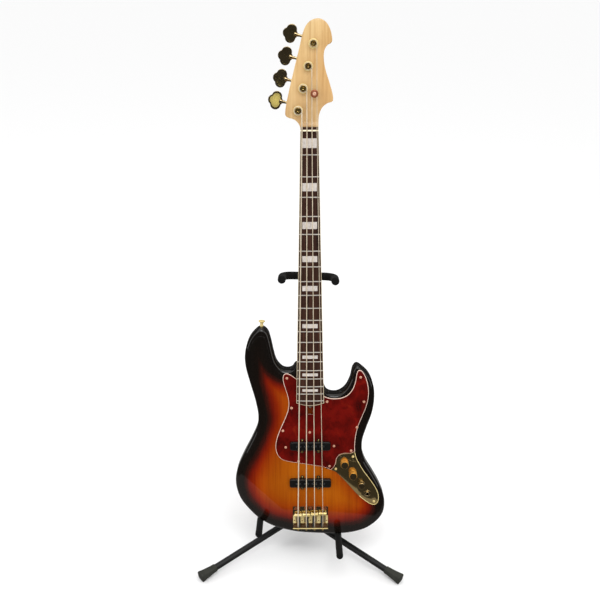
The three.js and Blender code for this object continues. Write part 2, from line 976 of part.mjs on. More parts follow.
function stringRetainer() {
  return turned(
    [
      [0, HEAD_FACE + GAP],
      [3, HEAD_FACE + GAP],
      [3, 6.9],
      [8, 6.9],
      [8.4, 7.6],
      [7.4, 9],
      [4.6, 9.6],
      [4.2, 10.6],
      [0, 11],
    ],
    [RETAINER.x, RETAINER.u, 0],
    [0, 0, 1],
    20,
  );
}

// ---------- strings ----------
function guitarString(i) {
  const r = STRING_RADII[i];
  const post = POSTS[i];
  const wrap = POST_RADIUS + GAP + r;
  const x0 = SADDLE_X[i];
  const path = [
    [x0, BRIDGE.lip - 1.5, 6.6],
    [x0, SADDLE_U[i] - 1.5, SADDLE_TOP + r - 0.15],
    [x0, SADDLE_U[i] + 1, SADDLE_TOP + r],
    [stringX(i, SCALE), SCALE + 0.4, NUT_SLOT + r],
    [stringX(i, SCALE), SCALE + 3.4, NUT_SLOT + r - 0.2],
  ];
  const start = 7.4;
  if (i >= 2) {
    const t = (RETAINER.u - SCALE) / (post.u - SCALE);
    const x = NUT_X[i] + (post.x + wrap - NUT_X[i]) * t;
    path.push([x, RETAINER.u - 3, 5.3]);
    path.push([x, RETAINER.u + 3, 5.2]);
  }
  const turns = 2;
  const pitch = 2 * r + GAP;
  const low = i >= 2 ? 5.6 : start;
  for (let k = 0; k <= turns * 12; k++) {
    const a = (k / 12) * 2 * Math.PI;
    const n = low - pitch * (k / 12);
    path.push([post.x + wrap * Math.cos(a), post.u + wrap * Math.sin(a), n]);
  }
  const ball = turned(
    [
      [0, -2.6],
      [2.2, -2.2],
      [2.6, 0],
      [2.2, 2.2],
      [0, 2.6],
    ],
    [x0, BRIDGE.lip - 3.1, 6.4],
    [0, 0, 1],
    8,
  );
  return join(tube(path, r, 6), ball);
}

// ---------- stand ----------
function hollowTube(outer, wall, from, to, sides) {
  return ring([0, from, SHAFT_N], [0, 1, 0], outer, outer - wall, to - from, sides);
}

function uprightTube() {
  return hollowTube(TUBE_RADIUS, TUBE_WALL, TUBE_BOTTOM, TUBE_TOP, 28);
}

function heightCollar() {
  const sleeve = ring(
    [0, TUBE_TOP - 26, SHAFT_N],
    [0, 1, 0],
    TUBE_RADIUS + 4,
    TUBE_RADIUS + GAP,
    26,
    20,
  );
  const cap = ring([0, TUBE_TOP - 0.2, SHAFT_N], [0, 1, 0], TUBE_RADIUS + 4, INNER_RADIUS + GAP, 8, 20);
  const boss = rod(
    [0, TUBE_TOP - 12, SHAFT_N - TUBE_RADIUS - 2.5],
    [0, TUBE_TOP - 12, SHAFT_N - TUBE_RADIUS - 10],
    7,
    20,
  );
  const bore = rod(
    [0, TUBE_TOP - 12, SHAFT_N - TUBE_RADIUS - 0.5],
    [0, TUBE_TOP - 12, SHAFT_N - TUBE_RADIUS - 20],
    3.3,
    16,
  );
  const seat = rod([0, TUBE_TOP - 60, SHAFT_N], [0, TUBE_TOP + GAP, SHAFT_N], TUBE_RADIUS + GAP, 20);
  return cut(join(sleeve, cut(cap, seat), boss), bore);
}

function heightKnob() {
  const u = TUBE_TOP - 12;
  const outer = SHAFT_N - TUBE_RADIUS;
  const stem = rod([0, u, outer - GAP - 0.2], [0, u, outer - 14], 3, 16);
  let grip = rod([0, u, outer - 11], [0, u, outer - 24], 12, 24);
  for (let k = 0; k < 6; k++) {
    const a = (k / 6) * 2 * Math.PI;
    const x = 14.5 * Math.cos(a);
    const y = u + 14.5 * Math.sin(a);
    grip = grip.subtract(rod([x, y, outer - 9], [x, y, outer - 26], 4.5, 14));
  }
  return join(stem, grip);
}

function innerTube() {
  return hollowTube(INNER_RADIUS, 1.6, INNER_BOTTOM, YOKE_U + 8, 24);
}

// The U of the yoke, from one tip round the back to the other.
function yokePath(tip) {
  const bend = 24;
  const front = YOKE_BAR_N + YOKE_REACH - tip;
  const path = [[-YOKE_HALF, YOKE_U, front]];
  path.push([-YOKE_HALF, YOKE_U, YOKE_BAR_N + bend + 10]);
  for (let i = 0; i <= 5; i++) {
    const a = (i / 5) * (Math.PI / 2);
    const x = -YOKE_HALF + bend * (1 - Math.cos(a));
    path.push([x, YOKE_U, YOKE_BAR_N + bend * (1 - Math.sin(a))]);
  }
  const half = path.map(([x, u, n]) => [-x, u, n]).reverse();
  return [...path, [0, YOKE_U, YOKE_BAR_N], ...half];
}

function yoke() {
  const bar = tube(yokePath(3), YOKE_ROD, 8);
  const stub = rod([0, YOKE_U, SHAFT_N], [0, YOKE_U, YOKE_BAR_N], 6, 18);
  const cap = turned(
    [
      [0, -14],
      [INNER_RADIUS + 3.6, -14],
      [INNER_RADIUS + 3.6, 12],
      [INNER_RADIUS + 1.6, 15],
      [0, 15.6],
    ],
    [0, YOKE_U, SHAFT_N],
    [0, 1, 0],
    24,
  );
  const seat = rod([0, YOKE_U - 20, SHAFT_N], [0, YOKE_U + 8 + GAP, SHAFT_N], INNER_RADIUS + GAP, 24);
  const core = rod([0, YOKE_U + 7, SHAFT_N], [0, YOKE_U + 10, SHAFT_N], 5, 16);
  return join(cut(join(cap, stub), seat), bar, core);
}

function yokePad() {
  const outer = tube(yokePath(0), FOAM_RADIUS, 16, 2.2);
  const core = tube(yokePath(2.4), YOKE_ROD + GAP, 8);
  const gate = rod([0, YOKE_U, SHAFT_N], [0, YOKE_U, YOKE_BAR_N], 6 + GAP, 18);
  return cut(outer, core, gate);
}

const LEG_SLOPE = Math.atan((HUB_CENTRE[2] - LEG_END_Z) / (LEG_REACH - LEG_PIVOT));

// Frame of one leg: along it outward from its pivot, level across, and up.
function legFrame(heading) {
  const out = new THREE.Vector3(Math.sin(heading), -Math.cos(heading), 0);
  const across = new THREE.Vector3(Math.cos(heading), Math.sin(heading), 0);
  const pivot = new THREE.Vector3(...HUB_CENTRE).addScaledVector(out, LEG_PIVOT);
  const along = out.clone().multiplyScalar(Math.cos(LEG_SLOPE));
  along.z = -Math.sin(LEG_SLOPE);
  const up = new THREE.Vector3().crossVectors(along, across);
  const matrix = new THREE.Matrix4().makeBasis(along, across.clone(), up);
  matrix.setPosition(pivot);
  return { matrix, out, across };
}

const LEG_LENGTH = (LEG_REACH - LEG_PIVOT) / Math.cos(LEG_SLOPE);

// Boxes and rods of a leg drawn along +X from the pivot, then set in place.
function placed(shapeGeometry, matrix) {
  return shapeGeometry.transform(matrix.toArray());
}

function legBar() {
  const section = [
    [-LEG_WIDTH / 2, -LEG_HEIGHT / 2 + 1],
    [-LEG_WIDTH / 2 + 1, -LEG_HEIGHT / 2],
    [LEG_WIDTH / 2 - 1, -LEG_HEIGHT / 2],
    [LEG_WIDTH / 2, -LEG_HEIGHT / 2 + 1],
    [LEG_WIDTH / 2, LEG_HEIGHT / 2 - 1.2],
    [LEG_WIDTH / 2 - 1.2, LEG_HEIGHT / 2],
    [-LEG_WIDTH / 2 + 1.2, LEG_HEIGHT / 2],
    [-LEG_WIDTH / 2, LEG_HEIGHT / 2 - 1.2],
  ];
  const shape = new THREE.Shape(section.map(([y, z]) => new THREE.Vector2(y, z)));
  const length = LEG_LENGTH - 4 - 14;
  const g = new THREE.ExtrudeGeometry(shape, { depth: length, bevelEnabled: false });
  const turn = new THREE.Matrix4().makeBasis(
    new THREE.Vector3(0, 1, 0),
    new THREE.Vector3(0, 0, 1),
    new THREE.Vector3(1, 0, 0),
  );
  g.applyMatrix4(turn);
  g.translate(14, 0, 0);
  const half = TONGUE_WIDTH / 2;
  const tongue = box(0, 20, -half, half, -LEG_HEIGHT / 2, LEG_HEIGHT / 2);
  const eye = rod([0, -half, 0], [0, half, 0], LEG_HEIGHT / 2, 20);
  const hole = rod([0, -20, 0], [0, 20, 0], 2.5 + GAP, 16);
  return cut(join(solid(g), tongue, eye), hole);
}

function boot() {
  const start = LEG_LENGTH - BOOT_LENGTH;
  const rings = [
    { at: start, w: 15.2, h: 13.2 },
    { at: start + 1.5, w: 16.4, h: 14.4 },
    { at: start + 8, w: 16.6, h: 14.6 },
    { at: start + 24, w: 18.8, h: 17 },
    { at: LEG_LENGTH - 2, w: 22, h: 20.5 },
    { at: LEG_LENGTH, w: 19.8, h: 18.2 },
  ];
  const sections = rings.map(({ at, w, h }) => ({
    u: at,
    points: roundRect(0, 0, w, h, 4, 3),
  }));
  const raw = loft(sections);
  // loft runs along its second axis; a leg runs along its first.
  const turn = new THREE.Matrix4().makeBasis(
    new THREE.Vector3(0, -1, 0),
    new THREE.Vector3(1, 0, 0),
    new THREE.Vector3(0, 0, 1),
  );
  const shell = placed(raw, turn);
  const w = LEG_WIDTH / 2 + GAP;
  const h = LEG_HEIGHT / 2 + GAP;
  return cut(shell, box(0, LEG_LENGTH - 4 + GAP, -w, w, -h, h));
}

function hub() {
  const [cx, cy, cz] = HUB_CENTRE;
  let made = rod([cx, cy, cz - 12], [cx, cy, cz + 12], 20, 24);
  for (const heading of LEG_HEADINGS) {
    const { out, across } = legFrame(heading);
    const frame = new THREE.Matrix4().makeBasis(out, across, new THREE.Vector3(0, 0, 1));
    frame.setPosition(new THREE.Vector3(...HUB_CENTRE));
    const half = TONGUE_WIDTH / 2 + GAP;
    const cheeks = [1, -1].map((side) =>
      join(
        box(4, LEG_PIVOT, side > 0 ? half : -half - 3.6, side > 0 ? half + 3.6 : -half, -8, 9),
        rod([LEG_PIVOT, side * half, 0], [LEG_PIVOT, side * (half + 3.6), 0], 8, 12),
      ),
    );
    const roof = box(4, LEG_PIVOT + 4, -half - 1, half + 1, 6.2, 9);
    const pin = rod([LEG_PIVOT, -half - 5, 0], [LEG_PIVOT, half + 5, 0], 2.5, 12);
    const room = join(
      box(LEG_PIVOT - 6.2, LEG_PIVOT + 30, -half, half, -30, 5.9),
      rod([LEG_PIVOT, -half, 0], [LEG_PIVOT, half, 0], 6.1, 12),
    );
    const clevis = join(...cheeks, roof);
    made = cut(made, placed(room, frame));
    made = join(made, placed(join(clevis, pin), frame));
  }
  const shaftFrame = leaningMatrix(0, STAND_X);
  const socket = rod([0, -68.5, SHAFT_N], [0, -36, SHAFT_N], TUBE_RADIUS + 2.6, 20);
  const lugs = [-1, 1].map((side) => {
    const x = side * ARM_PIN.x;
    const post = rod([x, -50, ARM_PIN.n], [x, ARM_PIN.u - 5.3, ARM_PIN.n], 8, 14);
    const pin = rod([x, -45, ARM_PIN.n], [x, ARM_PIN.u + 6, ARM_PIN.n], 3.4, 12);
    const head = rod([x, ARM_PIN.u + 5.3, ARM_PIN.n], [x, ARM_PIN.u + 7.6, ARM_PIN.n], 5.6, 12);
    const web = box(Math.min(x, 0), Math.max(x, 0), -48, -36, ARM_PIN.n - 5, ARM_PIN.n + 4);
    return join(post, pin, head, web);
  });
  const bore = rod([0, TUBE_BOTTOM - GAP, SHAFT_N], [0, 60, SHAFT_N], TUBE_RADIUS + GAP, 20);
  const leaning = placed(join(socket, ...lugs), shaftFrame);
  return cut(join(made, leaning), placed(bore, shaftFrame));
}

// Path of a cradle rod: from its pin out behind the body, then forward under it.
function armPath(arm, tip) {
  const side = Math.sign(arm.x);
  const from = [side * ARM_PIN.x, ARM_PIN.u, ARM_PIN.n];
  const corner = [side * (Math.abs(arm.x) - 12), arm.u + 3, -53];
  const turn = new THREE.QuadraticBezierCurve3(
    new THREE.Vector3(...corner),
    new THREE.Vector3(arm.x, arm.u, -52),
    new THREE.Vector3(arm.x, arm.u, -38),
  );
  const bend = turn.getPoints(6).map((p) => [p.x, p.y, p.z]);
  const level = [side * 37, ARM_PIN.u, ARM_PIN.n + 0.5];
  const middle = [side * 54, ARM_PIN.u + (arm.u + 3 - ARM_PIN.u) * 0.42, -57];
  return [from, level, middle, ...bend, [arm.x, arm.u, arm.end - tip]];
}

function cradleArm(arm) {
  const side = Math.sign(arm.x);
  const x = side * ARM_PIN.x;
  const eye = rod([x, ARM_PIN.u - 5, ARM_PIN.n], [x, ARM_PIN.u + 5, ARM_PIN.n], 7.6, 16);
  const hole = rod([x, ARM_PIN.u - 20, ARM_PIN.n], [x, ARM_PIN.u + 20, ARM_PIN.n], 3.8, 12);
  return cut(join(tube(armPath(arm, 3), ARM_ROD, 10), eye), hole);
}

function cradlePad(arm) {
  const start = -36;
  const r = ARM_FOAM;
  const outer = turned(
    [
      [0, 0],
      [r - 1, 0],
      [r, 1.4],
      [r, arm.end - start - 3.4],
      [r - 1.6, arm.end - start - 0.8],
      [r - 3.6, arm.end - start],
      [0, arm.end - start],
    ],
    [arm.x, arm.u, start],
    [0, 0, 1],
    18,
  );
  const core = rod([arm.x, arm.u, start - 5], [arm.x, arm.u, arm.end - 2.7], ARM_ROD + GAP, 12);
  return cut(outer, core);
}

// ---------- frames ----------
function leaningMatrix(tilt = 0, originX = 0) {
  const lean = new THREE.Matrix4().makeRotationX(Math.PI / 2 - LEAN);
  const turn = new THREE.Matrix4().makeRotationZ(tilt);
  const [, oy, oz] = GUITAR_ORIGIN;
  const at = new THREE.Matrix4().makeTranslation(originX, oy, oz);
  return at.multiply(lean).multiply(turn);
}

const LEG_HEADINGS = [-LEG_ANGLE, LEG_ANGLE, Math.PI].map((a) => a + STAND_YAW);
const LEG_NAMES = ["left", "right", "rear"];

const object = new THREE.Group();
const guitar = new THREE.Group();
const shaft = new THREE.Group();
const base = new THREE.Group();
guitar.applyMatrix4(leaningMatrix(SIDE_TILT, GUITAR_ORIGIN[0]));
shaft.applyMatrix4(leaningMatrix(0, STAND_X));
object.add(guitar, shaft, base);

guitar.add(meshOf("body", body(), LACQUER));
guitar.add(meshOf("neck", neck(), MAPLE));
guitar.add(meshOf("fretboard", fretboard(), ROSEWOOD));
guitar.add(meshOf("nut", nut(), BONE));
guitar.add(meshOf("pickguard", pickguard(), TORTOISE));
guitar.add(meshOf("control_plate", controlPlate(), GOLD));
guitar.add(meshOf("neck_pickup", pickup(NECK_PICKUP_U, 92, GUARD_TOP + GAP + 2.4), BLACK_PLASTIC));
guitar.add(meshOf("bridge_pickup", pickup(BRIDGE_PICKUP_U, 95, GAP + 2.4), BLACK_PLASTIC));
guitar.add(meshOf("bridge_plate", bridgePlate(), GOLD));
guitar.add(meshOf("output_jack", outputJack(), GOLD));
guitar.add(meshOf("neck_plate", neckPlate(), GOLD));
guitar.add(meshOf("truss_rod_nut", trussRodNut(), STEEL));
guitar.add(meshOf("string_retainer", stringRetainer(), GOLD));
guitar.add(meshOf("strap_button_upper", strapButton([-108, 437.6, -22], [0.05, 1, 0]), GOLD));
guitar.add(meshOf("strap_button_lower", strapButton([-3, -57.6, -30], [0, -1, 0], 0.7), GOLD));
for (let i = 0; i < 4; i++) {
  guitar.add(meshOf("saddle_" + (i + 1), saddle(i), GOLD));
  guitar.add(meshOf("string_" + (i + 1), guitarString(i), STEEL));
  guitar.add(meshOf("tuner_housing_" + (i + 1), tunerHousing(i), GOLD));
  guitar.add(meshOf("tuner_post_" + (i + 1), tunerPost(i), GOLD));
  guitar.add(meshOf("tuner_key_" + (i + 1), tunerKey(i), GOLD));
}
KNOBS.forEach((knob, i) => {
  guitar.add(meshOf("knob_" + (i + 1), controlKnob(knob), GOLD));
  guitar.add(meshOf("pot_" + (i + 1), pot(knob), STEEL));
});

shaft.add(meshOf("upright_tube", uprightTube(), BLACK_METAL));
shaft.add(meshOf("height_collar", heightCollar(), BLACK_PLASTIC));
shaft.add(meshOf("height_knob", heightKnob(), BLACK_PLASTIC));
shaft.add(meshOf("inner_tube", innerTube(), BLACK_METAL));
shaft.add(meshOf("yoke", yoke(), BLACK_METAL));
shaft.add(meshOf("yoke_pad", yokePad(), FOAM));
for (const [name, arm] of Object.entries(ARMS)) {
  shaft.add(meshOf("cradle_arm_" + name, cradleArm(arm), BLACK_METAL));
  shaft.add(meshOf("cradle_pad_" + name, cradlePad(arm), FOAM));
}

base.add(meshOf("hub", hub(), BLACK_METAL));
LEG_HEADINGS.forEach((heading, i) => {
  const { matrix } = legFrame(heading);
  const floor = box(-600, 600, -600, 600, -80, 0);
  base.add(meshOf("leg_" + LEG_NAMES[i], placed(legBar(), matrix), BLACK_METAL));
  base.add(meshOf("foot_" + LEG_NAMES[i], cut(placed(boot(), matrix), floor), RUBBER));
});

export default object;
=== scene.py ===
"""A four-string bass guitar leaning in a folding tripod stand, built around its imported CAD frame.

Shapes are drawn in millimetres in local frames: the guitar's (x across, u up the neck, n out of the face),
the stand's shaft (the same without the guitar's sideways tilt) and each leg's (along, across, up).
"""
import json
import math

import bmesh
import bpy
import numpy as np
from mathutils import Matrix, Vector
from mathutils.geometry import delaunay_2d_cdt


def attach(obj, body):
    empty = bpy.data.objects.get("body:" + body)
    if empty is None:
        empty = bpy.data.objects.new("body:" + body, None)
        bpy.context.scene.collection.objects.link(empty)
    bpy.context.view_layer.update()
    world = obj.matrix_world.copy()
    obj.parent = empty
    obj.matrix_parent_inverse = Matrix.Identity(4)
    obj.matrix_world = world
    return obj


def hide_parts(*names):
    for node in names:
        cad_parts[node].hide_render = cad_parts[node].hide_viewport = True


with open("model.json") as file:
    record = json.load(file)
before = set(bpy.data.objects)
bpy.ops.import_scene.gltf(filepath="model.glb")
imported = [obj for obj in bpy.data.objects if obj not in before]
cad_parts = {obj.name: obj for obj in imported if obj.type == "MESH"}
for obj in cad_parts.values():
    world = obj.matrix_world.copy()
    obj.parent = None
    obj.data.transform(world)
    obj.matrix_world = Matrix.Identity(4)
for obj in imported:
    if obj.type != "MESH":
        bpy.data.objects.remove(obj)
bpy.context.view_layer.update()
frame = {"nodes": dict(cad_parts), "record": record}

MM = 0.001
DEG = math.pi / 180
GAP = 0.3
JOINTS = {j["name"]: j for j in frame["record"]["behaviour"]["joints"]}

# ---------- sizes shared with the CAD, in millimetres ----------
SCALE = 864
BODY_THICK = 45
EDGE_RADIUS = 10
NUT_WIDTH = 38.1
HEEL_WIDTH = 62
HEEL_BACK = -16
FRET_COUNT = 20
BOARD_END, BOARD_BULGE, BOARD_HEAD_END = 261, 6, 873
BOARD_TOP, BOARD_BOTTOM, BOARD_RADIUS = 10, 4, 241
NECK_TOP = BOARD_BOTTOM - GAP
HEAD_FACE = -1.5
HEAD_THICK = 14
GUARD_TOP = 2.5
PLATE_TOP = GAP + 1.6
STRING_RADII = [1.3, 1.05, 0.85, 0.6]
SADDLE_X = [-28.5, -9.5, 9.5, 28.5]
SADDLE_U = [-5, -4, -2.5, -1]
NUT_X = [-15.75, -5.25, 5.25, 15.75]
NUT_SLOT = 11.6
SADDLE_TOP = 14.5
BARREL = 4.2
POST_RADIUS = 6.3
POST_TOP = 11.5
SCOOP_RADIUS, SCOOP_N, SCOOP_END = 22, 20.5, 889
# The forearm bevel starts at a line across the lower left of the face. The belly cut is a soft hollow behind.
BEVEL_AT, BEVEL_NORMAL, BEVEL_SOFTNESS = (-150, 160), (-0.875, -0.484), 400
BELLY_DEPTH, BELLY_X, BELLY_WIDTH, BELLY_U, BELLY_LENGTH = 15, -52, 62, 222, 85
# How far from the outline the burst's colours reach, and where the upper horn turns darker, in metres.
BURST_REACH = 130.0
HORN_START, HORN_END, HORN_SHIFT = 0.29, 0.42, -20.0
NECK_PICKUP_U = 163
BRIDGE_PICKUP_U = 72.5
PICKUP_TOP = 9
COVER_WIDTH, NECK_COVER, BRIDGE_COVER = 19.5, 92, 95
ROOM_FLOOR, CAVITY_FLOOR = -18, -38
KNOBS = [(78, 122, 9.3, 18), (97.5, 95, 9.3, 18), (117, 70, 8, 16)]
KNOB_BASE = PLATE_TOP + 0.5
JACK = (131, 46)
POSTS = [(-23.8 + 10.77 * i, 906.2 + 45 * i) for i in range(4)]
KEY_AXIS = (-0.974, 0.225)
KEY_OFFSET = 11.5
KEY_N = -23.5
KEY_CENTRE = 51.5
RETAINER = (10.5, 940.6)
BRIDGE_HALF, BRIDGE_FRONT, BRIDGE_LIP, BRIDGE_TOP, LIP_TOP = 40.5, 13, -38, 2.3, 12.5
SHAFT_N = -64
TUBE_RADIUS, TUBE_WALL, TUBE_BOTTOM, TUBE_TOP = 12.5, 1.8, -66, 372
INNER_RADIUS = TUBE_RADIUS - TUBE_WALL - GAP
INNER_BOTTOM = 210
YOKE_U = 551
YOKE_HALF = 57.5
YOKE_BAR_N = -20.3
YOKE_REACH = 58
YOKE_ROD = 4.5
YOKE_STUB = YOKE_BAR_N - SHAFT_N
FOAM_RADIUS = 8.8
LEG_PIVOT, LEG_REACH, LEG_END_Z = 28, 284, 9.5
LEG_WIDTH, LEG_HEIGHT = 12.5, 10.5
BOOT_LENGTH = 42
ARM_ROD = 4.5
ARM_FOAM = 7.75
ARM_PIN_X, ARM_PIN_N, ARM_PIN_U = 22, -60, -29
ARMS = {"left": (-94.8, -40, 45), "right": (89.6, -66, 84)}


# ---------- local frames ----------
def placing(x_axis, y_axis, z_axis, origin):
    matrix = Matrix((x_axis, y_axis, z_axis)).transposed().to_4x4()
    matrix.translation = origin
    return matrix


def guitar_frame():
    knob, key = JOINTS["knob_1_turn"], Vector(JOINTS["key_1_turn"]["axis"])
    n = Vector(knob["axis"]).normalized()
    x = (KEY_AXIS[0] * key - KEY_AXIS[1] * n.cross(key)).normalized()
    u = n.cross(x)
    return placing(x, u, n, Vector(knob["pos_m"]) - (KNOBS[0][0] * x + KNOBS[0][1] * u) * MM)


def shaft_frame():
    u = Vector(JOINTS["yoke_height"]["axis"]).normalized()
    x = Vector((1, 0, 0))
    n = x.cross(u)
    clamp = Vector(JOINTS["clamp_turn"]["pos_m"])
    return placing(x, u, n, clamp - ((TUBE_TOP - 12) * u + SHAFT_N * n) * MM)


def leg_frame(name):
    joint = JOINTS[f"leg_{name}_fold"]
    across = Vector(joint["axis"]).normalized()
    pivot = Vector(joint["pos_m"])
    out = across.cross(Vector((0, 0, 1)))
    slope = math.atan((pivot.z / MM - LEG_END_Z) / (LEG_REACH - LEG_PIVOT))
    along = out * math.cos(slope) - Vector((0, 0, math.sin(slope)))
    length = (LEG_REACH - LEG_PIVOT) / math.cos(slope)
    return placing(along, across, along.cross(across), pivot), length


GUITAR = guitar_frame()
SHAFT = shaft_frame()
HUB_X = SHAFT.translation.x / MM
HUB_Y = JOINTS["leg_rear_fold"]["pos_m"][1] / MM - LEG_PIVOT * math.cos(1.5 * DEG)


def new_object(name, data):
    obj = bpy.data.objects.new(name, data)
    bpy.context.scene.collection.objects.link(obj)
    return obj


# ---------- camera: above and in front, nearly square on ----------
def camera():
    pitch, roll = 24 * DEG, 1.75 * DEG
    up0 = Vector((0, math.sin(pitch), math.cos(pitch)))
    right0 = Vector((1, 0, 0))
    right = math.cos(roll) * right0 + math.sin(roll) * up0
    up = math.cos(roll) * up0 - math.sin(roll) * right0
    data = bpy.data.cameras.new("camera")
    data.sensor_width = 36
    data.lens = 49.56
    data.clip_end = 200
    obj = new_object("camera", data)
    obj.matrix_world = placing(right, up, right.cross(up), Vector((HUB_X - 17, HUB_Y - 1626, 1350)) * MM)
    bpy.context.scene.camera = obj


camera()


# ---------- shapes: each is (list of points, list of faces) in a local frame ----------
def joined(*shapes):
    points, faces = [], []
    for p, f in shapes:
        base = len(points)
        points.extend(p)
        faces.extend([[base + i for i in face] for face in f])
    return points, faces


def moved(shape, by):
    return [tuple(Vector(p) + Vector(by)) for p in shape[0]], shape[1]


def turned_to(shape, at, direction):
    """A shape drawn round +n is turned to point along a direction and set at a point."""
    q = Vector((0, 0, 1)).rotation_difference(Vector(direction))
    return [tuple(q @ Vector(p) + Vector(at)) for p in shape[0]], shape[1]


def turned_about_n(shape, angle):
    c, s = math.cos(angle), math.sin(angle)
    return [(x * c - u * s, x * s + u * c, n) for x, u, n in shape[0]], shape[1]


def box(x0, x1, u0, u1, n0, n1):
    points = [(x, u, n) for n in (n0, n1) for u in (u0, u1) for x in (x0, x1)]
    return points, [[0, 2, 3, 1], [4, 5, 7, 6], [0, 1, 5, 4], [2, 6, 7, 3], [0, 4, 6, 2], [1, 3, 7, 5]]


def catmull(points, count, closed=False):
    """Evenly spaced points on a centripetal Catmull-Rom curve."""
    p = [np.array(q, float) for q in points]
    size = len(p)
    dense = []
    for i in range(size if closed else size - 1):
        p1, p2 = p[i], p[(i + 1) % size]
        p0 = p[i - 1] if closed or i > 0 else 2 * p[0] - p[1]
        p3 = p[(i + 2) % size] if closed or i + 2 < size else 2 * p[-1] - p[-2]
        d1 = max(np.dot(p2 - p1, p2 - p1) ** 0.25, 1e-4)
        d0 = np.dot(p1 - p0, p1 - p0) ** 0.25 or d1
        d2 = np.dot(p3 - p2, p3 - p2) ** 0.25 or d1
        t1 = ((p1 - p0) / d0 - (p2 - p0) / (d0 + d1) + (p2 - p1) / d1) * d1
        t2 = ((p2 - p1) / d1 - (p3 - p1) / (d1 + d2) + (p3 - p2) / d2) * d1
        for t in np.arange(16) / 16:
            square, cube = 3 * (p2 - p1) - 2 * t1 - t2, 2 * (p1 - p2) + t1 + t2
            dense.append(p1 + t1 * t + square * t**2 + cube * t**3)
    dense.append(p[0] if closed else p[-1])
    dense = np.array(dense)
    run = np.concatenate([[0], np.cumsum(np.linalg.norm(np.diff(dense, axis=0), axis=1))])
    at = np.linspace(0, run[-1], count + 1)
    out = np.stack([np.interp(at, run, dense[:, k]) for k in range(dense.shape[1])], 1)
    return [tuple(q) for q in (out[:-1] if closed else out)]


def anticlockwise(outline):
    a = np.array(outline, float)
    b = np.roll(a, -1, 0)
    area = (a[:, 0] * b[:, 1] - b[:, 0] * a[:, 1]).sum()
    return list(outline) if area > 0 else list(outline)[::-1]


def inset(outline, amount):
    """An anticlockwise outline moved inward, with mitred corners."""
    a = np.array(outline, float)
    t = np.roll(a, -1, 0) - a
    t /= np.maximum(np.linalg.norm(t, axis=1), 1e-9)[:, None]
    normal = np.stack([-t[:, 1], t[:, 0]], 1)
    mitre = normal + np.roll(normal, 1, 0)
    mitre /= np.maximum((mitre * normal).sum(1), 0.5)[:, None]
    return [tuple(q) for q in a + mitre * amount]


def loft(sections):
    """A solid through sections that share one point count; each is a list of (x, u, n)."""
    size = len(sections[0])
    points = [p for section in sections for p in section]
    faces = []
    for k in range(len(sections) - 1):
        for i in range(size):
            a, b = k * size + i, k * size + (i + 1) % size
            faces.append([a, b, b + size, a + size])
    faces.append(list(range(size))[::-1])
    faces.append([(len(sections) - 1) * size + i for i in range(size)])
    return points, faces


def quarter(steps):
    return [k / steps * math.pi / 2 for k in range(steps + 1)]


def prism(outline, n0, n1, edge=0.5, steps=3, low_edge=None):
    """A plate of that outline between two heights, with rounded edges."""
    outline = anticlockwise(outline)
    low_edge = edge if low_edge is None else low_edge
    levels = [(low_edge * (1 - math.sin(a)), n0 + low_edge * (1 - math.cos(a))) for a in quarter(steps)]
    levels += [(edge * (1 - math.sin(a)), n1 - edge * (1 - math.cos(a))) for a in quarter(steps)[::-1]]
    return loft([[(x, u, n) for x, u in inset(outline, amount)] for amount, n in levels])


def lathe(profile, at=(0, 0, 0), direction=(0, 0, 1), segments=40, ripple=None):
    """A turned shape. profile is (radius, height) pairs; ripple(angle, height) scales the radius."""
    points, faces, rows = [], [], []
    for r, h in profile:
        if r < 1e-6:
            rows.append([len(points)])
            points.append((0, 0, h))
            continue
        row = []
        for k in range(segments):
            a = 2 * math.pi * k / segments
            radius = r * (ripple(a, h) if ripple else 1)
            row.append(len(points))
            points.append((radius * math.cos(a), radius * math.sin(a), h))
        rows.append(row)
    for low, high in zip(rows, rows[1:]):
        for k in range(segments):
            a, b = low[k % len(low)], low[(k + 1) % len(low)]
            c, d = high[(k + 1) % len(high)], high[k % len(high)]
            face = list(dict.fromkeys([a, b, c, d]))
            if len(face) > 2:
                faces.append(face)
    return turned_to((points, faces), at, direction)


def rod(radius, low, high, at=(0, 0, 0), direction=(0, 0, 1), segments=40):
    """A plain round bar, mostly used to drill or to join."""
    return lathe([(0, low), (radius, low), (radius, high), (0, high)], at, direction, segments)


def rounded(profile, r=0.4, steps=3):
    """A turned profile with its corners rounded off."""
    out = [profile[0]]
    for before, corner, after in zip(profile, profile[1:], profile[2:]):
        c = Vector(corner)
        a, b = Vector(before) - c, Vector(after) - c
        if a.length < 1e-6 or b.length < 1e-6 or corner[0] < 1e-6:
            out.append(corner)
            continue
        size = min(r, 0.45 * a.length, 0.45 * b.length)
        p, q = c + a.normalized() * size, c + b.normalized() * size
        for t in np.arange(steps + 1) / steps:
            out.append(tuple((1 - t) ** 2 * p + 2 * t * (1 - t) * c + t * t * q))
    return out + [profile[-1]]


def ring(at, direction, outer, inner, height, edge=0.4, segments=48):
    half = height / 2
    corners = [(inner, half), (inner, 0), (outer, 0), (outer, height), (inner, height), (inner, half)]
    return lathe(rounded(corners, edge), at, direction, segments)


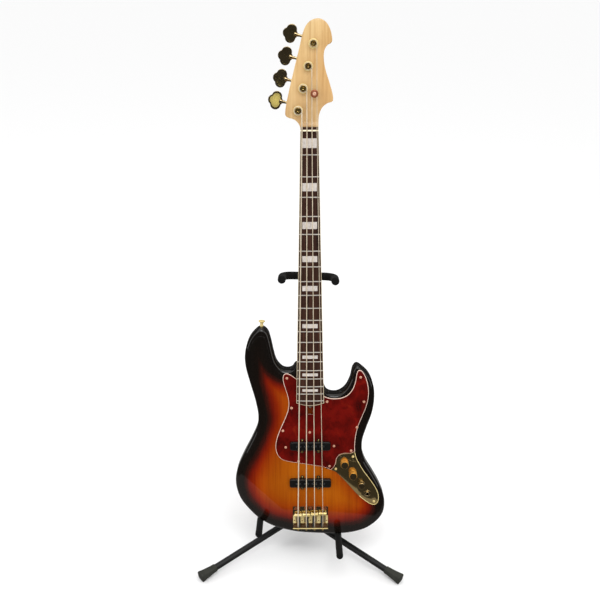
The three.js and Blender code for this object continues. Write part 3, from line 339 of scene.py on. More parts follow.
def sweep(path, radius, sides=20, dome=0.0):
    """A tube along a path. dome rounds its two ends by that many millimetres."""
    stations = [(Vector(p), radius) for p in path]
    if dome:
        def end(tip, inner, turns):
            out = (tip - inner).normalized() * dome
            return [(tip - out * (1 - math.sin(a)), radius - dome * (1 - math.cos(a))) for a in turns]

        centres = [p for p, _ in stations]
        head = end(centres[0], centres[1], (1.4, 1.0, 0.6, 0.0))
        tail = end(centres[-1], centres[-2], (0.0, 0.6, 1.0, 1.4))
        stations = head + stations[1:-1] + tail
    pts = [p for p, _ in stations]
    tangents = [(pts[min(i + 1, len(pts) - 1)] - pts[max(i - 1, 0)]).normalized() for i in range(len(pts))]
    helper = Vector((1, 0, 0)) if abs(tangents[0].x) < 0.9 else Vector((0, 1, 0))
    side = (helper - tangents[0] * helper.dot(tangents[0])).normalized()
    turns = [2 * math.pi * k / sides for k in range(sides)]
    sections = []
    for i, (p, r) in enumerate(stations):
        if i:
            side = (tangents[i - 1].rotation_difference(tangents[i]) @ side).normalized()
        up = tangents[i].cross(side).normalized()
        sections.append([tuple(p + (side * math.cos(a) + up * math.sin(a)) * r) for a in turns])
    return loft(sections)


def arc(cx, cy, r, start, turn, steps):
    """Points on an arc, with both of its ends."""
    angles = [start + turn * i / steps for i in range(steps + 1)]
    return [(cx + r * math.cos(a), cy + r * math.sin(a)) for a in angles]


def round_rect(cx, cy, w, h, r, steps=6):
    out = []
    for k, (sx, sy) in enumerate(((1, 1), (-1, 1), (-1, -1), (1, -1))):
        out += arc(cx + sx * (w / 2 - r), cy + sy * (h / 2 - r), r, 90 * k * DEG, 90 * DEG, steps)
    return out


def stadium(ax, ay, bx, by, r, steps=12):
    along = math.atan2(by - ay, bx - ax)
    far = arc(bx, by, r, along - math.pi / 2, math.pi, steps)
    return far + arc(ax, ay, r, along + math.pi / 2, math.pi, steps)


# ---------- meshes and objects ----------
def fresh_mesh(name, shape, scale=1.0):
    mesh = bpy.data.meshes.new(name)
    mesh.from_pydata([tuple(c * scale for c in p) for p in shape[0]], [], shape[1])
    bm = bmesh.new()
    bm.from_mesh(mesh)
    bmesh.ops.remove_doubles(bm, verts=bm.verts, dist=1e-4 * scale)
    bmesh.ops.recalc_face_normals(bm, faces=bm.faces)
    bm.to_mesh(mesh)
    bm.free()
    return mesh


def evaluated(obj):
    bpy.context.view_layer.update()
    return obj.evaluated_get(bpy.context.evaluated_depsgraph_get())


def combine(shape, *tools, operation="DIFFERENCE"):
    """One shape cut by, joined to or limited to each tool in turn."""
    for tool in tools:
        objects = [new_object("work", fresh_mesh("work", s)) for s in (shape, tool)]
        modifier = objects[0].modifiers.new("combine", "BOOLEAN")
        modifier.object = objects[1]
        modifier.operation = operation
        modifier.solver = "EXACT"
        result = evaluated(objects[0])
        mesh = result.to_mesh()
        shape = [tuple(v.co) for v in mesh.vertices], [list(p.vertices) for p in mesh.polygons]
        result.to_mesh_clear()
        for o in objects:
            data = o.data
            bpy.data.objects.remove(o)
            bpy.data.meshes.remove(data)
    return shape


def union(shape, *tools):
    return combine(shape, *tools, operation="UNION")


def piece(name, shape, material, replaces=(), body="guitar", place=GUITAR, bevel=0.0, angle=35):
    """A shown object made from a shape in a local frame, riding on a CAD body."""
    mesh = fresh_mesh(name, shape, MM)
    obj = new_object(name, mesh)
    if bevel:
        modifier = obj.modifiers.new("bevel", "BEVEL")
        modifier.width = bevel * MM
        modifier.segments = 2
        modifier.limit_method = "ANGLE"
        modifier.angle_limit = 30 * DEG
        obj.data = bpy.data.meshes.new_from_object(evaluated(obj))
        obj.modifiers.clear()
        bpy.data.meshes.remove(mesh)
        mesh = obj.data
        mesh.name = name
    mesh.shade_smooth()
    mesh.set_sharp_from_angle(angle=angle * DEG)
    mesh.materials.clear()
    mesh.materials.append(material)
    mesh.transform(place)
    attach(obj, body)
    if replaces:
        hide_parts(*replaces)
    return obj


def from_cad(node, place=GUITAR, flat=1.5):
    """A CAD node's mesh as a shape in a local frame, its flat faces merged."""
    bm = bmesh.new()
    bm.from_mesh(frame["nodes"][node].data)
    bmesh.ops.transform(bm, matrix=Matrix.Scale(1 / MM, 4) @ place.inverted(), verts=bm.verts)
    bmesh.ops.remove_doubles(bm, verts=bm.verts, dist=0.002)
    bmesh.ops.dissolve_limit(bm, angle_limit=flat * DEG, verts=bm.verts, edges=bm.edges)
    shape = [tuple(v.co) for v in bm.verts], [[v.index for v in f.verts] for f in bm.faces]
    bm.free()
    return shape


# ---------- materials ----------
def srgb(*colour):
    """Linear colour from one as it looks on a screen, 0 to 255."""
    parts = [v / 255 for v in colour]
    return tuple(c / 12.92 if c <= 0.04045 else ((c + 0.055) / 1.055) ** 2.4 for c in parts)


def add_node(tree, kind, inputs=(), **settings):
    """A new shader node. inputs maps its sockets to numbers, colours or the sockets that feed them."""
    made = tree.nodes.new(kind)
    for key, value in settings.items():
        setattr(made, key, value)
    for key, value in dict(inputs).items():
        if isinstance(value, bpy.types.NodeSocket):
            tree.links.new(value, made.inputs[key])
        else:
            made.inputs[key].default_value = value
    return made


class Look:
    """A node material: a Principled shader with procedural colour, roughness and bump added to it."""

    def __init__(self, name, colour, roughness, metallic=0.0, **sockets):
        self.material = bpy.data.materials.new(name)
        self.material.use_nodes = True
        self.tree = self.material.node_tree
        self.shader = self.tree.nodes["Principled BSDF"]
        sockets.update(Base_Color=(*colour, 1), Roughness=roughness, Metallic=metallic)
        for key, value in sockets.items():
            self.shader.inputs[key.replace("_", " ")].default_value = value
        self.coordinates = self.guitar_coordinates()

    def guitar_coordinates(self):
        """Object coordinates turned so that Y runs up the neck, which is how the wood's grain runs."""
        place = self.node("ShaderNodeTexCoord").outputs["Object"]
        turn = GUITAR.to_3x3().inverted().to_euler("XYZ")
        return self.node("ShaderNodeMapping", {"Vector": place, "Rotation": turn}).outputs["Vector"]

    def node(self, kind, inputs=(), **settings):
        return add_node(self.tree, kind, inputs, **settings)

    def texture(self, kind, scale, inputs=(), **settings):
        """A texture scaled along x, up the neck and out of the face, or by one number for all three."""
        scale = scale if isinstance(scale, tuple) else (scale,) * 3
        at = self.node("ShaderNodeMapping", {"Vector": self.coordinates, "Scale": scale}).outputs["Vector"]
        return self.node(kind, {"Vector": at, "Scale": 1, **dict(inputs)}, **settings)

    def noise(self, scale, detail=4.0, roughness=0.55, distortion=0.0):
        inputs = {"Detail": detail, "Roughness": roughness, "Distortion": distortion}
        return self.texture("ShaderNodeTexNoise", scale, inputs).outputs["Fac"]

    def spots(self, scale):
        return self.texture("ShaderNodeTexVoronoi", scale).outputs["Distance"]

    def wave(self, scale, direction, distortion=0.0):
        inputs = {"Distortion": distortion}
        return self.texture("ShaderNodeTexWave", scale, inputs, bands_direction=direction).outputs["Fac"]

    def ramp(self, value, *stops, interpolation="EASE"):
        """Colours along a value. Each stop is a position and a linear red, green and blue."""
        made = self.node("ShaderNodeValToRGB", {"Fac": value})
        made.color_ramp.interpolation = interpolation
        elements = made.color_ramp.elements
        while len(elements) < len(stops):
            elements.new(1)
        for element, (at, *colour) in zip(elements, stops):
            element.position = at
            element.color = (*colour, 1)
        return made.outputs["Color"]

    def tones(self, value, *stops, **settings):
        """A ramp whose colours are given as they look on a screen, 0 to 255."""
        return self.ramp(value, *[(at, *srgb(*colour)) for at, *colour in stops], **settings)

    def span(self, value, low, high, to_low, to_high):
        inputs = {"Value": value, "From Min": low, "From Max": high, "To Min": to_low, "To Max": to_high}
        return self.node("ShaderNodeMapRange", inputs).outputs["Result"]

    def maths(self, operation, a, b):
        return self.node("ShaderNodeMath", {0: a, 1: b}, operation=operation).outputs["Value"]

    def up_neck(self):
        """Distance up the neck from the guitar's zero, in metres."""
        parts = self.node("ShaderNodeSeparateXYZ", {0: self.coordinates})
        return self.maths("SUBTRACT", parts.outputs["Y"], GUITAR_ORIGIN_Y)

    def mix(self, a, b, factor=0.5, blend="MIX"):
        made = self.node("ShaderNodeMix", data_type="RGBA", blend_type=blend)
        made.inputs[0].default_value = factor
        self.tree.links.new(a, made.inputs[6])
        self.tree.links.new(b, made.inputs[7])
        return made.outputs[2]

    def times(self, colour, *layers):
        """A colour multiplied by layers, each a colour and how strongly it counts."""
        for layer, strength in layers:
            colour = self.mix(colour, layer, strength, "MULTIPLY")
        return colour

    def finish(self, colour, roughness=None, height=None, strength=0.2, distance=0.3):
        """Feeds the shader and gives the material. Bump distances are in millimetres."""
        feeds = {"Base Color": colour}
        if roughness is not None:
            feeds["Roughness"] = roughness
        if height is not None:
            inputs = {"Strength": strength, "Distance": distance * MM, "Height": height}
            feeds["Normal"] = self.node("ShaderNodeBump", inputs).outputs["Normal"]
        for socket, feed in feeds.items():
            self.tree.links.new(feed, self.shader.inputs[socket])
        return self.material


# The row's origin as seen in the guitar's frame, along the neck.
GUITAR_ORIGIN_Y = (GUITAR.to_3x3().inverted() @ GUITAR.translation).y


def lacquer():
    """Black to red to amber with the distance from the edge, over straight grain, under clear gloss."""
    gloss = {"Coat_Weight": 1.0, "Coat_Roughness": 0.035, "Coat_IOR": 1.5}
    look = Look("sunburst_lacquer", srgb(160, 76, 9), 0.42, Specular_IOR_Level=0.0, **gloss)
    edge = look.node("ShaderNodeAttribute", attribute_name="edge").outputs["Fac"]
    drift = look.span(look.noise((14, 9, 9), 3), 0.3, 0.7, -3.5, 3.5)
    horn = look.span(look.up_neck(), HORN_START, HORN_END, 0.0, HORN_SHIFT)
    reach = look.maths("DIVIDE", look.maths("ADD", look.maths("ADD", edge, drift), horn), BURST_REACH)
    burst = look.tones(
        reach, (0.0, 15, 12, 10), (0.135, 18, 12, 9), (0.205, 52, 15, 9), (0.265, 98, 19, 6),
        (0.34, 125, 33, 3), (0.46, 144, 58, 4), (0.65, 155, 76, 5), (1.0, 166, 88, 10),
        interpolation="LINEAR",
    )
    grain = look.noise((330, 7, 60), 8, 0.62)
    figure = look.noise((60, 2.2, 12), 4, 0.5, 0.4)
    streak = look.ramp(grain, (0.34, 0.74, 0.64, 0.5), (0.56, 1, 1, 1))
    broad = look.ramp(figure, (0.34, 0.84, 0.78, 0.72), (0.62, 1.06, 1.05, 1.0))
    wood = look.times(burst, (streak, 0.6), (broad, 0.8))
    return look.finish(wood, look.span(grain, 0.3, 0.7, 0.36, 0.48), look.noise(420, 2), 0.012, 0.2)


def maple():
    gloss = {"Coat_Weight": 0.35, "Coat_Roughness": 0.12}
    look = Look("maple", srgb(209, 173, 120), 0.38, Specular_IOR_Level=0.2, **gloss)
    grain = look.noise((170, 5, 50), 7, 0.6, 0.3)
    broad = look.noise((26, 1.6, 10), 3, 0.5, 0.6)
    flecks = look.noise((520, 60, 200), 3, 0.7)
    base = look.tones(grain, (0.30, 190, 150, 98), (0.5, 209, 173, 120), (0.72, 222, 190, 138))
    warm = look.ramp(broad, (0.3, 1.0, 0.90, 0.80), (0.62, 1.03, 1.01, 0.99))
    fleck = look.ramp(flecks, (0.28, 0.86, 0.80, 0.74), (0.42, 1, 1, 1))
    # Painted shade: the maple is darkened all along the neck and lightened towards the top of the head, for
    # how light falls there, not for any change in the wood.
    head_shade_mask = look.span(look.up_neck(), 0.88, 1.08, 0.0, 1.0)
    painted_shade_along_neck = look.ramp(head_shade_mask, (0.0, 0.80, 0.80, 0.82), (0.55, 0.90, 0.91, 0.90), (1.0, 0.93, 1.00, 1.04))
    wood = look.times(base, (warm, 0.8), (fleck, 0.55), (painted_shade_along_neck, 1.0))
    return look.finish(wood, look.span(grain, 0.3, 0.7, 0.33, 0.45), grain, 0.04, 0.15)


def rosewood():
    gloss = {"Coat_Weight": 0.08, "Coat_Roughness": 0.3}
    look = Look("rosewood", srgb(62, 34, 26), 0.5, Specular_IOR_Level=0.2, **gloss)
    grain = look.noise((300, 6, 60), 8, 0.65, 0.4)
    broad = look.noise((48, 2.5, 12), 4, 0.5, 0.8)
    pores = look.noise((900, 28, 300), 2, 0.8)
    base = look.tones(grain, (0.30, 38, 21, 13), (0.52, 62, 36, 24), (0.74, 88, 53, 36))
    tone = look.ramp(broad, (0.32, 0.68, 0.60, 0.60), (0.66, 1.12, 1.04, 1.0))
    pore = look.ramp(pores, (0.34, 0.42, 0.36, 0.34), (0.44, 1, 1, 1))
    wood = look.times(base, (tone, 0.9), (pore, 0.8))
    return look.finish(wood, look.span(pores, 0.3, 0.6, 0.62, 0.42), pores, 0.12, 0.12)


def tortoise():
    """Red celluloid with drifting darker clouds and a few bright flecks, polished."""
    gloss = {"Coat_Weight": 1.0, "Coat_Roughness": 0.03}
    look = Look("tortoiseshell", srgb(100, 14, 9), 0.3, Specular_IOR_Level=0.0, **gloss)
    clouds = look.noise((30, 22, 26), 5, 0.58, 0.5)
    islands = look.noise((64, 48, 64), 4, 0.6, 0.7)
    base = look.tones(clouds, (0.28, 50, 4, 3), (0.45, 80, 7, 4), (0.6, 98, 11, 6), (0.76, 120, 30, 11))
    dark = look.ramp(islands, (0.32, 0.62, 0.5, 0.5), (0.5, 1, 1, 1))
    return look.finish(look.times(base, (dark, 0.72)), None, look.noise(300, 2), 0.01, 0.1)


def plastic(name, low, high, roughness, coat=0.0, grain=260.0, bump=0.05):
    look = Look(name, high, roughness, Specular_IOR_Level=0.3, Coat_Weight=coat, Coat_Roughness=0.08)
    speckle = look.noise(grain, 5, 0.6)
    wide = look.noise(grain * 0.09, 3)
    colours = [look.ramp(value, (0.3, *low), (0.7, *high)) for value in (speckle, wide)]
    matt = look.span(speckle, 0.3, 0.7, roughness - 0.06, roughness + 0.08)
    return look.finish(look.mix(*colours), matt, speckle, bump, 0.1)


def metal(name, low, high, roughness, wear=0.06, bump=0.02, metallic=1.0):
    look = Look(name, high, roughness, metallic=metallic)
    lines = look.noise((700, 60, 300), 4, 0.6)
    haze = look.noise(38, 5, 0.65)
    broad = look.ramp(haze, (0.3, *low), (0.66, *high))
    colour = look.mix(broad, look.ramp(lines, (0.3, *low), (0.7, *high)), 0.4)
    brushed = look.span(lines, 0.3, 0.7, roughness, roughness + wear / 2)
    matt = look.maths("ADD", look.span(haze, 0.3, 0.7, 0, wear), brushed)
    return look.finish(colour, matt, lines, bump, 0.05)


def pearl():
    look = Look("pearl", srgb(224, 222, 214), 0.22, Coat_Weight=0.6, Coat_Roughness=0.06)
    swirl = look.noise((90, 40, 60), 6, 0.62, 3.0)
    sheen = look.wave((60, 90, 20), "DIAGONAL", 9.0)
    base = look.tones(swirl, (0.3, 172, 162, 156), (0.52, 202, 193, 186), (0.72, 222, 214, 208))
    tint = look.ramp(sheen, (0.0, 0.96, 0.99, 1.0), (1.0, 1.0, 0.985, 0.96))
    return look.finish(look.times(base, (tint, 0.9)))


def wound_string():
    """Round winding: fine ridges across the string's run."""
    look = Look("string_winding", srgb(240, 226, 200), 0.4, metallic=0.25)
    ridges = look.wave((1, 2600, 1), "Y")
    patches = look.noise((300, 40, 300), 4)
    colour = look.tones(patches, (0.3, 196, 180, 154), (0.7, 220, 206, 182))
    return look.finish(colour, look.span(patches, 0.3, 0.7, 0.34, 0.46), ridges, 0.25, 0.06)


def powder_coat():
    gloss = {"Coat_Weight": 0.15, "Coat_Roughness": 0.2}
    look = Look("black_powder_coat", srgb(19, 19, 19), 0.36, Specular_IOR_Level=0.3, **gloss)
    peel = look.noise(900, 3, 0.6)
    smear = look.noise(60, 5, 0.7)
    colour = look.tones(smear, (0.3, 8, 8, 8), (0.72, 18, 18, 17))
    return look.finish(colour, look.span(smear, 0.3, 0.75, 0.3, 0.5), peel, 0.12, 0.15)


def foam():
    look = Look("black_foam", srgb(18, 18, 17), 0.85, Specular_IOR_Level=0.15, Sheen_Weight=0.02)
    pores = look.spots(900)
    skin = look.noise(60, 5, 0.6)
    shade = look.tones(pores, (0.05, 5, 5, 5), (0.4, 15, 15, 14))
    crushed = look.ramp(skin, (0.3, 0.8, 0.8, 0.8), (0.7, 1.1, 1.1, 1.1))
    colour = look.times(shade, (crushed, 0.8))
    return look.finish(colour, look.span(skin, 0.3, 0.7, 0.78, 0.92), pores, 0.35, 0.25)


def boot_rubber():
    look = Look("boot_rubber", srgb(46, 47, 43), 0.62, Specular_IOR_Level=0.25)
    dust = look.noise(70, 6, 0.7)
    stipple = look.noise(1100, 3, 0.6)
    colour = look.tones(dust, (0.28, 33, 34, 30), (0.6, 49, 50, 44), (0.8, 72, 72, 63))
    return look.finish(colour, look.span(dust, 0.3, 0.8, 0.5, 0.78), stipple, 0.15, 0.15)


LACQUER = lacquer()
MAPLE = maple()
ROSEWOOD = rosewood()
TORTOISE = tortoise()
PEARL = pearl()
CREAM = plastic("aged_cream", srgb(224, 208, 172), srgb(240, 228, 200), 0.38, coat=0.3)
BINDING = plastic("aged_binding", srgb(186, 172, 142), srgb(216, 202, 172), 0.4)
PLY = plastic("guard_ply", srgb(214, 176, 158), srgb(238, 214, 198), 0.42)
GOLD = metal("gold_plate", (0.72, 0.46, 0.13), (0.95, 0.70, 0.26), 0.09)
# Pale satin gold: the real colour of the washers, strap buttons and plate screws, and also a painted
# highlight on the control plate's bead, the bridge rails and the lip's top.
SATIN_AND_HIGHLIGHT_GOLD = metal("gold_plate_satin_and_highlight", srgb(226, 200, 128), srgb(240, 222, 160), 0.42, metallic=0.35)
PALE_GOLD = metal("gold_plate_pale", srgb(236, 214, 140), srgb(250, 238, 190), 0.22, metallic=0.7)
# Dark brown gold for the bridge's lip: painted shade on a part plated like the rest of the bridge.
SHADED_LIP_GOLD = metal("gold_plate_lip_shade", srgb(66, 44, 26), srgb(100, 70, 40), 0.4, metallic=0.4)
ROSE_GOLD = metal("gold_plate_rose", srgb(206, 150, 122), srgb(232, 184, 156), 0.4, metallic=0.35)
COPPER = metal("aged_copper", srgb(120, 58, 36), srgb(160, 92, 60), 0.35, metallic=0.5)
PLATED = metal("gold_plate_mirror", (0.58, 0.42, 0.18), (0.74, 0.56, 0.27), 0.045, wear=0.03, bump=0.008)
KNOB_GOLD = metal("gold_knurl", srgb(204, 128, 38), srgb(240, 184, 84), 0.34, metallic=0.75)
# A darker copy of the gold plate: painted shade and painted reflection of the dark room, for the keys, the
# jack, the bridge's base plate, the third knob and the knob tops, which are the same plated gold as the rest.
SHADED_GOLD = metal("gold_plate_shaded", (0.42, 0.31, 0.16), (0.58, 0.45, 0.24), 0.05, wear=0.03, bump=0.008)
STEEL = metal("machined_steel", (0.42, 0.42, 0.42), (0.62, 0.62, 0.61), 0.25)
NICKEL = metal("fret_nickel", srgb(176, 170, 160), srgb(206, 200, 190), 0.42, metallic=0.4)
POLE = metal("pole_steel", (0.10, 0.11, 0.12), (0.20, 0.21, 0.22), 0.3)
STRING = wound_string()
BLACK = plastic("pickup_black", srgb(9, 9, 9), srgb(16, 16, 15), 0.32, coat=0.35)
MOULDED = plastic("stand_plastic", srgb(14, 14, 14), srgb(25, 25, 25), 0.48, grain=700.0, bump=0.12)
POWDER = powder_coat()
FOAM = foam()
RUBBER = boot_rubber()


# ---------- outlines: control points in millimetres, x across and u up the neck ----------
BODY_OUTLINE = [
    (0, -57), (-32, -54), (-62, -48), (-92, -39), (-121, -23), (-143, -2), (-161, 22), (-170, 46),
    (-173, 72), (-168, 102), (-152, 140), (-133, 178), (-120, 210), (-118, 232), (-123, 264), (-135, 309),
    (-144, 345), (-146, 372), (-140, 402), (-128, 423), (-109, 437), (-95, 428), (-88, 408), (-82, 380),
    (-75, 357), (-62, 342), (-50, 339), (-40, 342), (-33, 351), (-20, 350), (0, 346), (20, 340), (29, 328),
    (30.5, 302), (38, 287), (50, 282.5), (64, 284), (79, 295), (90, 316), (97, 343), (105, 350), (117, 343),
    (133, 326), (143, 301), (145, 272), (140, 238), (127, 200), (119, 172), (119, 146), (127, 120),
    (142, 94), (159, 63), (169, 38), (172, 16), (168, -7), (155, -26), (132, -44), (108, -53), (80, -58),
    (40, -58.5),
]
HEAD_OUTLINE = [
    (-19.2, 868), (-19.8, 873), (-24, 881), (-31, 887.5), (-48.5, 894.2), (-51, 900.5), (-20, 1036),
    (-12.9, 1063.8), (-5.5, 1079), (6, 1088.5), (19.3, 1091), (31.5, 1086.5), (41, 1075), (46.8, 1056),
    (46.8, 1044.5), (38, 1039), (31.5, 1028), (30.3, 1010), (34, 988.6), (43.2, 959.8), (49.3, 936),
    (48.8, 925.5), (38, 921.5), (27, 912.5), (20.5, 898), (19, 880), (19.2, 868),
]
GUARD_LEFT = [
    (-31.6, 322), (-43, 330.5), (-52, 334), (-58.5, 332), (-61, 324), (-60, 313), (-55.5, 297),
    (-50.5, 280), (-48.5, 264), (-50, 249), (-56, 231), (-65, 210), (-73, 190), (-78, 172), (-79, 157),
    (-75.5, 142), (-66, 130), (-50, 124), (-25, 120), (0, 116), (22, 112), (38, 108), (47, 103.5),
]
SEAM = [
    (47.5, 103.5), (54, 110), (58.5, 120), (60.5, 131), (67.5, 140), (79, 143.5), (91, 143.5),
    (101.5, 147.5),
]
GUARD_RIGHT = [
    (102, 148), (101.5, 162), (103, 182), (108, 207), (117, 231), (126, 254), (131, 277), (131, 298),
    (127, 318), (120.5, 333), (113.5, 341), (107.5, 340.5), (104, 332), (101.5, 316), (96, 299), (86, 285),
    (73, 277.5), (58, 275), (44, 276), (31.6, 280),
]
PLATE_EDGE = [
    (102, 147), (105, 134), (111, 121), (119, 107), (129, 92), (139, 78), (148, 64), (154, 52), (157.3, 40),
    (157, 29), (153.5, 21), (147, 17.5), (139, 19), (128, 26), (115, 36.5), (103, 49), (92, 62), (80, 76),
    (67, 90), (56, 100), (48, 103),
]
GUARD_SCREWS = [
    (-52, 323), (-42, 253), (-62, 199), (-56, 159), (-27, 125), (44, 113), (54, 162), (-1, 195),
    (93, 150.5), (106, 207), (121, 267.5), (113, 325), (38, 268),
]
# Stations along the neck: place, how far back it reaches, how square its section is.
NECK_STATIONS = [
    (264.5, -16, 14), (340, -16, 14), (350, -15.4, 8), (362, -13.6, 4.5), (380, -12.2, 3), (402, -11.6, 2.4),
    (440, -11.2, 2.2), (620, -11.2, 2.1), (740, -10.6, 2.1), (840, -10.2, 2.1), (858, -11.2, 2.4),
    (872, -14.2, 4), (884, -15.4, 9),
]


def neck_width(u):
    return NUT_WIDTH + (HEEL_WIDTH - NUT_WIDTH) * (SCALE - u) / (SCALE - BOARD_END)


def string_x(i, u):
    return SADDLE_X[i] + (NUT_X[i] - SADDLE_X[i]) * u / SCALE


def crown(x):
    """Height of the fretboard's cambered face above the guitar's zero plane."""
    return BOARD_TOP - BOARD_RADIUS + math.sqrt(BOARD_RADIUS**2 - x * x)


def fret_u(number):
    return SCALE / 2 ** (number / 12)


# ---------- body ----------
def inward(outline):
    """Unit normals of a closed clockwise outline, pointing inward."""
    t = np.roll(outline, -1, 0) - np.roll(outline, 1, 0)
    t /= np.linalg.norm(t, axis=1)[:, None]
    return np.stack([t[:, 1], -t[:, 0]], 1)


def edge_reaches(outline):
    """Edge radius at each outline point: smaller on tight turns and nearly square under the neck."""
    p = np.array(outline)
    normals = inward(p)
    a, b = np.roll(normals, 2, 0), np.roll(normals, -2, 0)
    turn = np.abs(a[:, 0] * b[:, 1] - a[:, 1] * b[:, 0])
    span = np.linalg.norm(np.roll(p, 2, 0) - np.roll(p, -2, 0), axis=1)
    reach = np.minimum(EDGE_RADIUS, 0.6 * span / np.maximum(turn, 1e-6))
    reach[(np.abs(p[:, 0]) < 36) & (p[:, 1] > 285)] = 1.2
    for _ in range(3):
        reach = np.minimum(reach, (np.roll(reach, 1) + reach + np.roll(reach, -1)) / 3)
    return reach


def edge_levels(steps=8, bands=6):
    """From the face to the back: how much of the edge radius is rounded off, and the height."""
    front = [(1 - math.sin(a), -EDGE_RADIUS * (1 - math.cos(a))) for a in quarter(steps)]
    side = [(0, -EDGE_RADIUS - (BODY_THICK - 2 * EDGE_RADIUS) * k / bands) for k in range(1, bands)]
    back = [(1 - math.sin(a), -BODY_THICK + EDGE_RADIUS * (1 - math.cos(a))) for a in quarter(steps)[::-1]]
    return front + side + back


def flat_mesh(rim, spacing=6.5, margin=4):
    """Triangles that fill a closed outline, with each point's number on the rim, or None."""
    flat = [Vector(q) for q in rim]
    low, high = rim.min(0), rim.max(0)
    for x in np.arange(low[0] + 3, high[0], spacing):
        for u in np.arange(low[1] + 3, high[1], spacing):
            if np.linalg.norm(rim - (x, u), axis=1).min() > margin:
                flat.append(Vector((x, u)))
    points, _, faces, origins, *_ = delaunay_2d_cdt(flat, [], [list(range(len(rim)))], 1, 1e-4)
    on_rim = [origin[0] if origin and origin[0] < len(rim) else None for origin in origins]
    return points, faces, on_rim


def contoured(x, u, n):
    """A point of the flat blank with the forearm bevel in front and the belly cut behind."""
    depth = -n / BODY_THICK
    past = (x - BEVEL_AT[0]) * BEVEL_NORMAL[0] + (u - BEVEL_AT[1]) * BEVEL_NORMAL[1]
    drop = past * past / BEVEL_SOFTNESS * max(1 - 1.6 * depth, 0) if past > 0 else 0
    inside = min(max((BELLY_X - x) / BELLY_WIDTH, 0), 1)
    along = math.exp(-(((u - BELLY_U) / BELLY_LENGTH) ** 2))
    rise = BELLY_DEPTH * inside**2 * along * max(1.6 * depth - 0.6, 0)
    return x, u, n - drop + rise - 0.02


def body_blank():
    coarse_count, count, skin = 108, 432, 0.05
    coarse = edge_reaches(catmull(BODY_OUTLINE, coarse_count, True))
    outline = np.array(catmull(BODY_OUTLINE, count, True))
    at = np.arange(count) * coarse_count / count
    reach = np.interp(at, np.arange(coarse_count + 1), np.append(coarse, coarse[0])) - 0.1
    normals = inward(outline)
    levels = [(outline + normals * (share * reach + skin)[:, None], n) for share, n in edge_levels()]
    points, faces = loft([[(x, u, n) for x, u in loop] for loop, n in levels])
    faces = faces[:-2]
    flat_points, flat_faces, on_rim = flat_mesh(outline + normals * (reach + skin)[:, None])
    for n, rim_base, turn in ((0.0, 0, 1), (-BODY_THICK, (len(levels) - 1) * count, -1)):
        index = []
        for q, rim_number in zip(flat_points, on_rim):
            if rim_number is None:
                index.append(len(points))
                points.append((q.x, q.y, n))
            else:
                index.append(rim_base + rim_number)
        faces += [[index[k] for k in face][::-turn] for face in flat_faces]
    return [contoured(*p) for p in points], faces


def write_edge(obj):
    """Stores each vertex's distance from the body's outline for the sunburst."""
    outline = np.array(catmull(BODY_OUTLINE, 864, True))
    mesh = obj.data
    co = np.zeros(len(mesh.vertices) * 3)
    mesh.vertices.foreach_get("co", co)
    inverse = np.array(GUITAR.inverted())
    xy = (co.reshape(-1, 3) @ inverse[:3, :3].T + inverse[:3, 3])[:, :2] / MM
    distance = np.array([np.sqrt(((outline - q) ** 2).sum(1).min()) for q in xy])
    layer = mesh.attributes.new("edge", "FLOAT", "POINT")
    layer.data.foreach_set("value", distance.astype(np.float32))


def body():
    half, room_top = HEEL_WIDTH / 2 + GAP + 0.2, 5
    rooms = joined(
        prism(round_rect(0, NECK_PICKUP_U, 97, 32, 6), ROOM_FLOOR, room_top, 0, 1),
        prism(round_rect(0, BRIDGE_PICKUP_U, 95.6, 20.1, 4.6), ROOM_FLOOR, room_top, 0, 1),
        prism(stadium(79, 121, 131, 44, 15), CAVITY_FLOOR, room_top, 0, 1),
    )
    pocket_outline = [(-half, 258), (half, 258), (half - 2.2, 380), (-half + 2.2, 380)]
    pocket = prism(pocket_outline, HEEL_BACK - GAP, room_top, 0, 1)
    truss_slot = box(-5.5, 5.5, 236, 260, -9, room_top)
    wire_channel = box(36, 72, 105, 150, -14, 1)
    shape = combine(body_blank(), rooms, pocket, truss_slot, wire_channel)
    write_edge(piece("body_shell", shape, LACQUER, ["body"], angle=28))


body()


# ---------- neck and headstock ----------
def neck_section(u, back, square, steps=36):
    half = neck_width(min(u, 868)) / 2 * 0.996
    out = []
    for i in range(steps + 1):
        a = math.pi + math.pi * i / steps
        c, s = math.cos(a), math.sin(a)
        x = half * math.copysign(abs(c) ** (2 / square), c)
        n = NECK_TOP - 2 - (NECK_TOP - 2 - back) * abs(s) ** (2 / square)
        out.append((x, u, n))
    return out + [(half, u, NECK_TOP), (-half, u, NECK_TOP)]


def neck():
    """The neck's loft joined to the head, whose face is cut down behind a round scoop past the nut."""
    table = np.array(NECK_STATIONS, float)
    places = np.unique(np.concatenate([np.arange(264.5, 884, 9), table[:, 0]]))
    backs, squares = (np.interp(places, table[:, 0], table[:, k]) for k in (1, 2))
    sections = [neck_section(*station) for station in zip(places, backs, squares)]
    outline = inset(anticlockwise(catmull(HEAD_OUTLINE, 150)), 0.15)
    head = prism(outline, HEAD_FACE - HEAD_THICK, NECK_TOP, 0.3, 1, low_edge=1.6)
    beyond = 80
    scoop = rod(SCOOP_RADIUS, 0, 140, (-70, SCOOP_END, SCOOP_N), (1, 0, 0), 96)
    trims = ((840, 874), (SCOOP_END, 920))
    scoop = combine(scoop, *[box(-beyond, beyond, u0, u1, -20, 60) for u0, u1 in trims])
    above_face = box(-beyond, beyond, SCOOP_END, 1110, HEAD_FACE, 20)
    shape = combine(union(loft(sections), head), scoop, above_face)
    shape = combine(shape, *[rod(POST_RADIUS + GAP, 0, 50, (x, u, -30)) for x, u in POSTS])
    shape = combine(shape, rod(4.4, 0, 50, (0, 250, -4), (0, 1, 0)))
    piece("neck_wood", shape, MAPLE, ["neck"], bevel=0.5)


neck()


